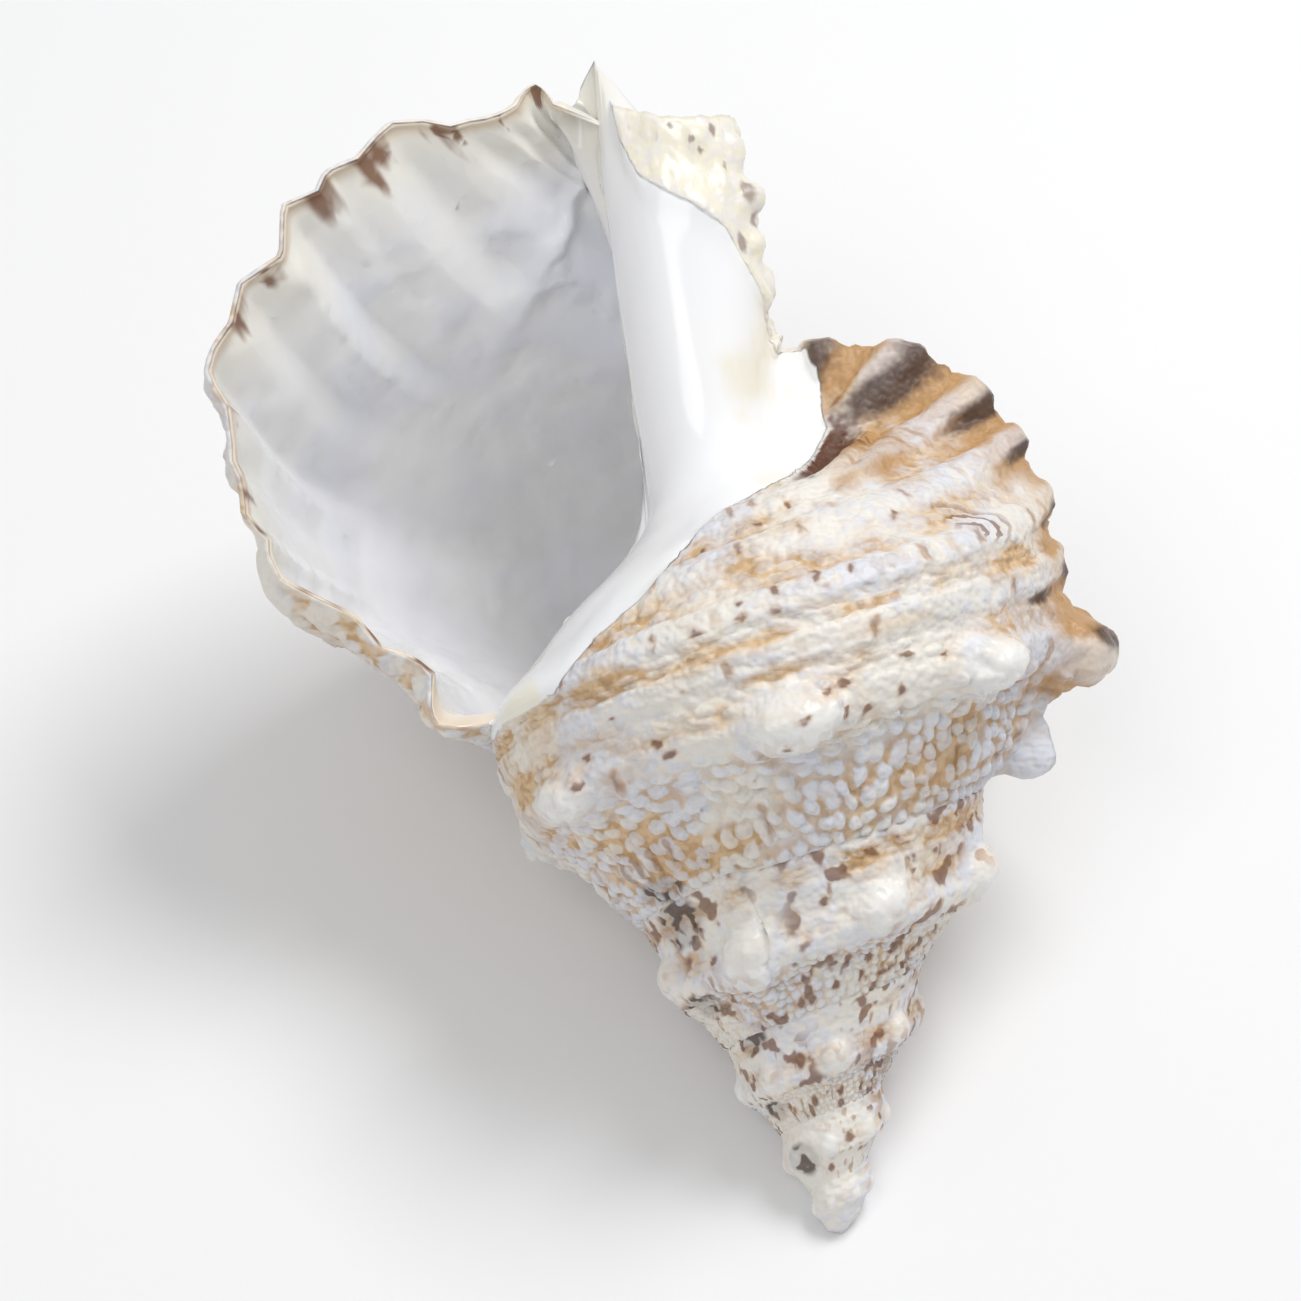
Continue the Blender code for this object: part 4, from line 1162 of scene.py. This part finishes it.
skin = look.times(fine, SKIN_RELIEF, look.rest_of(glazed), look.rest_of(knob, 0.6), look.rest_of(neck, 0.75))
relief = look.node("ShaderNodeBump", {"Height": skin, "Distance": SKIN_DEPTH, "Strength": SKIN_STRENGTH})
look.feed(relief.outputs[0], surface.inputs["Normal"])

# The tree's inputs are set by their identifiers, then the result is made one plain closed mesh
MOST_TRIANGLES = 197000
coil_step = maker.modifiers.new("coil", "NODES")
coil_step.node_group = coil_tree
coil_values = dict(COIL_INPUTS, Finish=finish)
for item in coil_tree.interface.items_tree:
    if item.in_out == "INPUT" and item.name in coil_values:
        coil_step[item.identifier] = coil_values[item.name]


def evaluated_mesh(maker):
    """The object's mesh as its modifiers leave it."""
    graph = bpy.context.evaluated_depsgraph_get()
    evaluated = maker.evaluated_get(graph)
    return bpy.data.meshes.new_from_object(evaluated, preserve_all_data_layers=True, depsgraph=graph)


full_mesh = evaluated_mesh(maker)
maker.modifiers.remove(coil_step)
maker.data = full_mesh
full_triangles = sum(len(face.vertices) - 2 for face in full_mesh.polygons)
fewer = maker.modifiers.new("fewer", "DECIMATE")
fewer.ratio = MOST_TRIANGLES / full_triangles
shell_mesh = evaluated_mesh(maker)
shell_mesh.name = "frog_shell"
bpy.data.objects.remove(maker)

# The shell is laid down mouth up, and is worn flat at the few spots that it rests on
up = -Vector(DOWN).normalized()
side = Vector(SIDEWAYS)
side = (side - up * side.dot(up)).normalized()
forward = up.cross(side)
laid = Matrix.Translation(Vector(PLACE) * MM) @ Matrix((side, forward, up)).to_4x4() @ Matrix.Scale(MM, 4)
shell_mesh.transform(laid)
shape = bmesh.new()
shape.from_mesh(shell_mesh)
bmesh.ops.bisect_plane(shape, geom=shape.verts[:] + shape.edges[:] + shape.faces[:], plane_co=(0, 0, 0),
                       plane_no=(0, 0, -1), clear_outer=True, dist=1e-8)
bmesh.ops.holes_fill(shape, edges=[edge for edge in shape.edges if edge.is_boundary], sides=0)
bmesh.ops.triangulate(shape, faces=[face for face in shape.faces if len(face.verts) > 3])
shape.to_mesh(shell_mesh)
shape.free()
shell_mesh.shade_smooth()
frog_shell = bpy.data.objects.new("frog_shell", shell_mesh)
bpy.context.scene.collection.objects.link(frog_shell)
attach(frog_shell, "root")
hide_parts("shell")

# THE FLOOR
# A plain sheet of pale matt paper, wide enough to fill the picture. The shell rests on it.
FLOOR_SIZE = 6.0
PAPER_WHITE = (0.90, 0.90, 0.90, 1.0)
PAPER_ROUGHNESS = 0.9
PAPER_SHINE = 0.1
floor_mesh = bpy.data.meshes.new("floor")
half = FLOOR_SIZE / 2
floor_corners = [(-half, -half, 0), (half, -half, 0), (half, half, 0), (-half, half, 0)]
floor_mesh.from_pydata(floor_corners, [], [(0, 1, 2, 3)])
floor = bpy.data.objects.new("floor", floor_mesh)
bpy.context.scene.collection.objects.link(floor)
paper = bpy.data.materials.new("pale_paper")
paper.use_nodes = True
paper_surface = paper.node_tree.nodes["Principled BSDF"]
paper_surface.inputs["Base Color"].default_value = PAPER_WHITE
paper_surface.inputs["Roughness"].default_value = PAPER_ROUGHNESS
paper_surface.inputs["Specular IOR Level"].default_value = PAPER_SHINE
floor_mesh.materials.append(paper)

# THE CAMERA
# It looks down on the mouth of the lying shell, whose apex points down in the picture. Its aim and its
# distance are in millimetres in the coil's frame.
VIEW_TILT = math.radians(5.0)
VIEW_ROLL = math.atan2(SIDEWAYS[2], -SIDEWAYS[0])
VIEW_DISTANCE = 500.0
VIEW_TARGET = (16.85, -115.1)
VIEW_ANGLE = math.radians(24.66)
sideways_axis = Vector((1.0, 0.0, 0.0))
tilted_axis = Vector((0.0, math.sin(VIEW_TILT), math.cos(VIEW_TILT)))
view_right = -math.cos(VIEW_ROLL) * sideways_axis + math.sin(VIEW_ROLL) * tilted_axis
view_up = -math.sin(VIEW_ROLL) * sideways_axis - math.cos(VIEW_ROLL) * tilted_axis
view_back = view_right.cross(view_up)
target = VIEW_TARGET[0] * sideways_axis + VIEW_TARGET[1] * tilted_axis
turned = laid.to_3x3().normalized()
axes = Matrix((turned @ view_right, turned @ view_up, turned @ view_back)).transposed()
camera_data = bpy.data.cameras.new("camera")
camera_data.sensor_fit = "HORIZONTAL"
camera_data.angle = VIEW_ANGLE
camera_data.clip_start = 0.01
camera = bpy.data.objects.new("camera", camera_data)
bpy.context.scene.collection.objects.link(camera)
camera.matrix_world = Matrix.Translation(laid @ (target + view_back * VIEW_DISTANCE)) @ axes.to_4x4()
bpy.context.scene.camera = camera

# THE LIGHT
# A big soft light beyond the picture's upper right, a weaker one beside the camera, and a bright even
# room.
SHELL_MIDDLE = Vector((0.0, 0.0, 0.05))
LIGHT_DISTANCE = 1.2
ROOM_COLOUR = (0.97, 0.98, 1.0, 1.0)
ROOM_STRENGTH = 0.47


def soft_light(name, direction, size, power):
    """An area light that shines on the shell from a direction given as right, up and towards the camera."""
    way = (axes @ Vector(direction)).normalized()
    data = bpy.data.lights.new(name, "AREA")
    data.size = size
    data.energy = power
    lamp = bpy.data.objects.new(name, data)
    bpy.context.scene.collection.objects.link(lamp)
    lamp.location = SHELL_MIDDLE + way * LIGHT_DISTANCE
    lamp.rotation_euler = (-way).to_track_quat("-Z", "Y").to_euler()


soft_light("key_light", direction=(0.45, 1.0, 0.65), size=0.50, power=8.2)
soft_light("fill_light", direction=(-0.35, 0.2, 1.0), size=0.60, power=2.8)
room = bpy.context.scene.world or bpy.data.worlds.new("room")
bpy.context.scene.world = room
room.use_nodes = True
air = room.node_tree.nodes["Background"]
air.inputs["Color"].default_value = ROOM_COLOUR
air.inputs["Strength"].default_value = ROOM_STRENGTH
bpy.context.scene.view_settings.view_transform = "Standard"
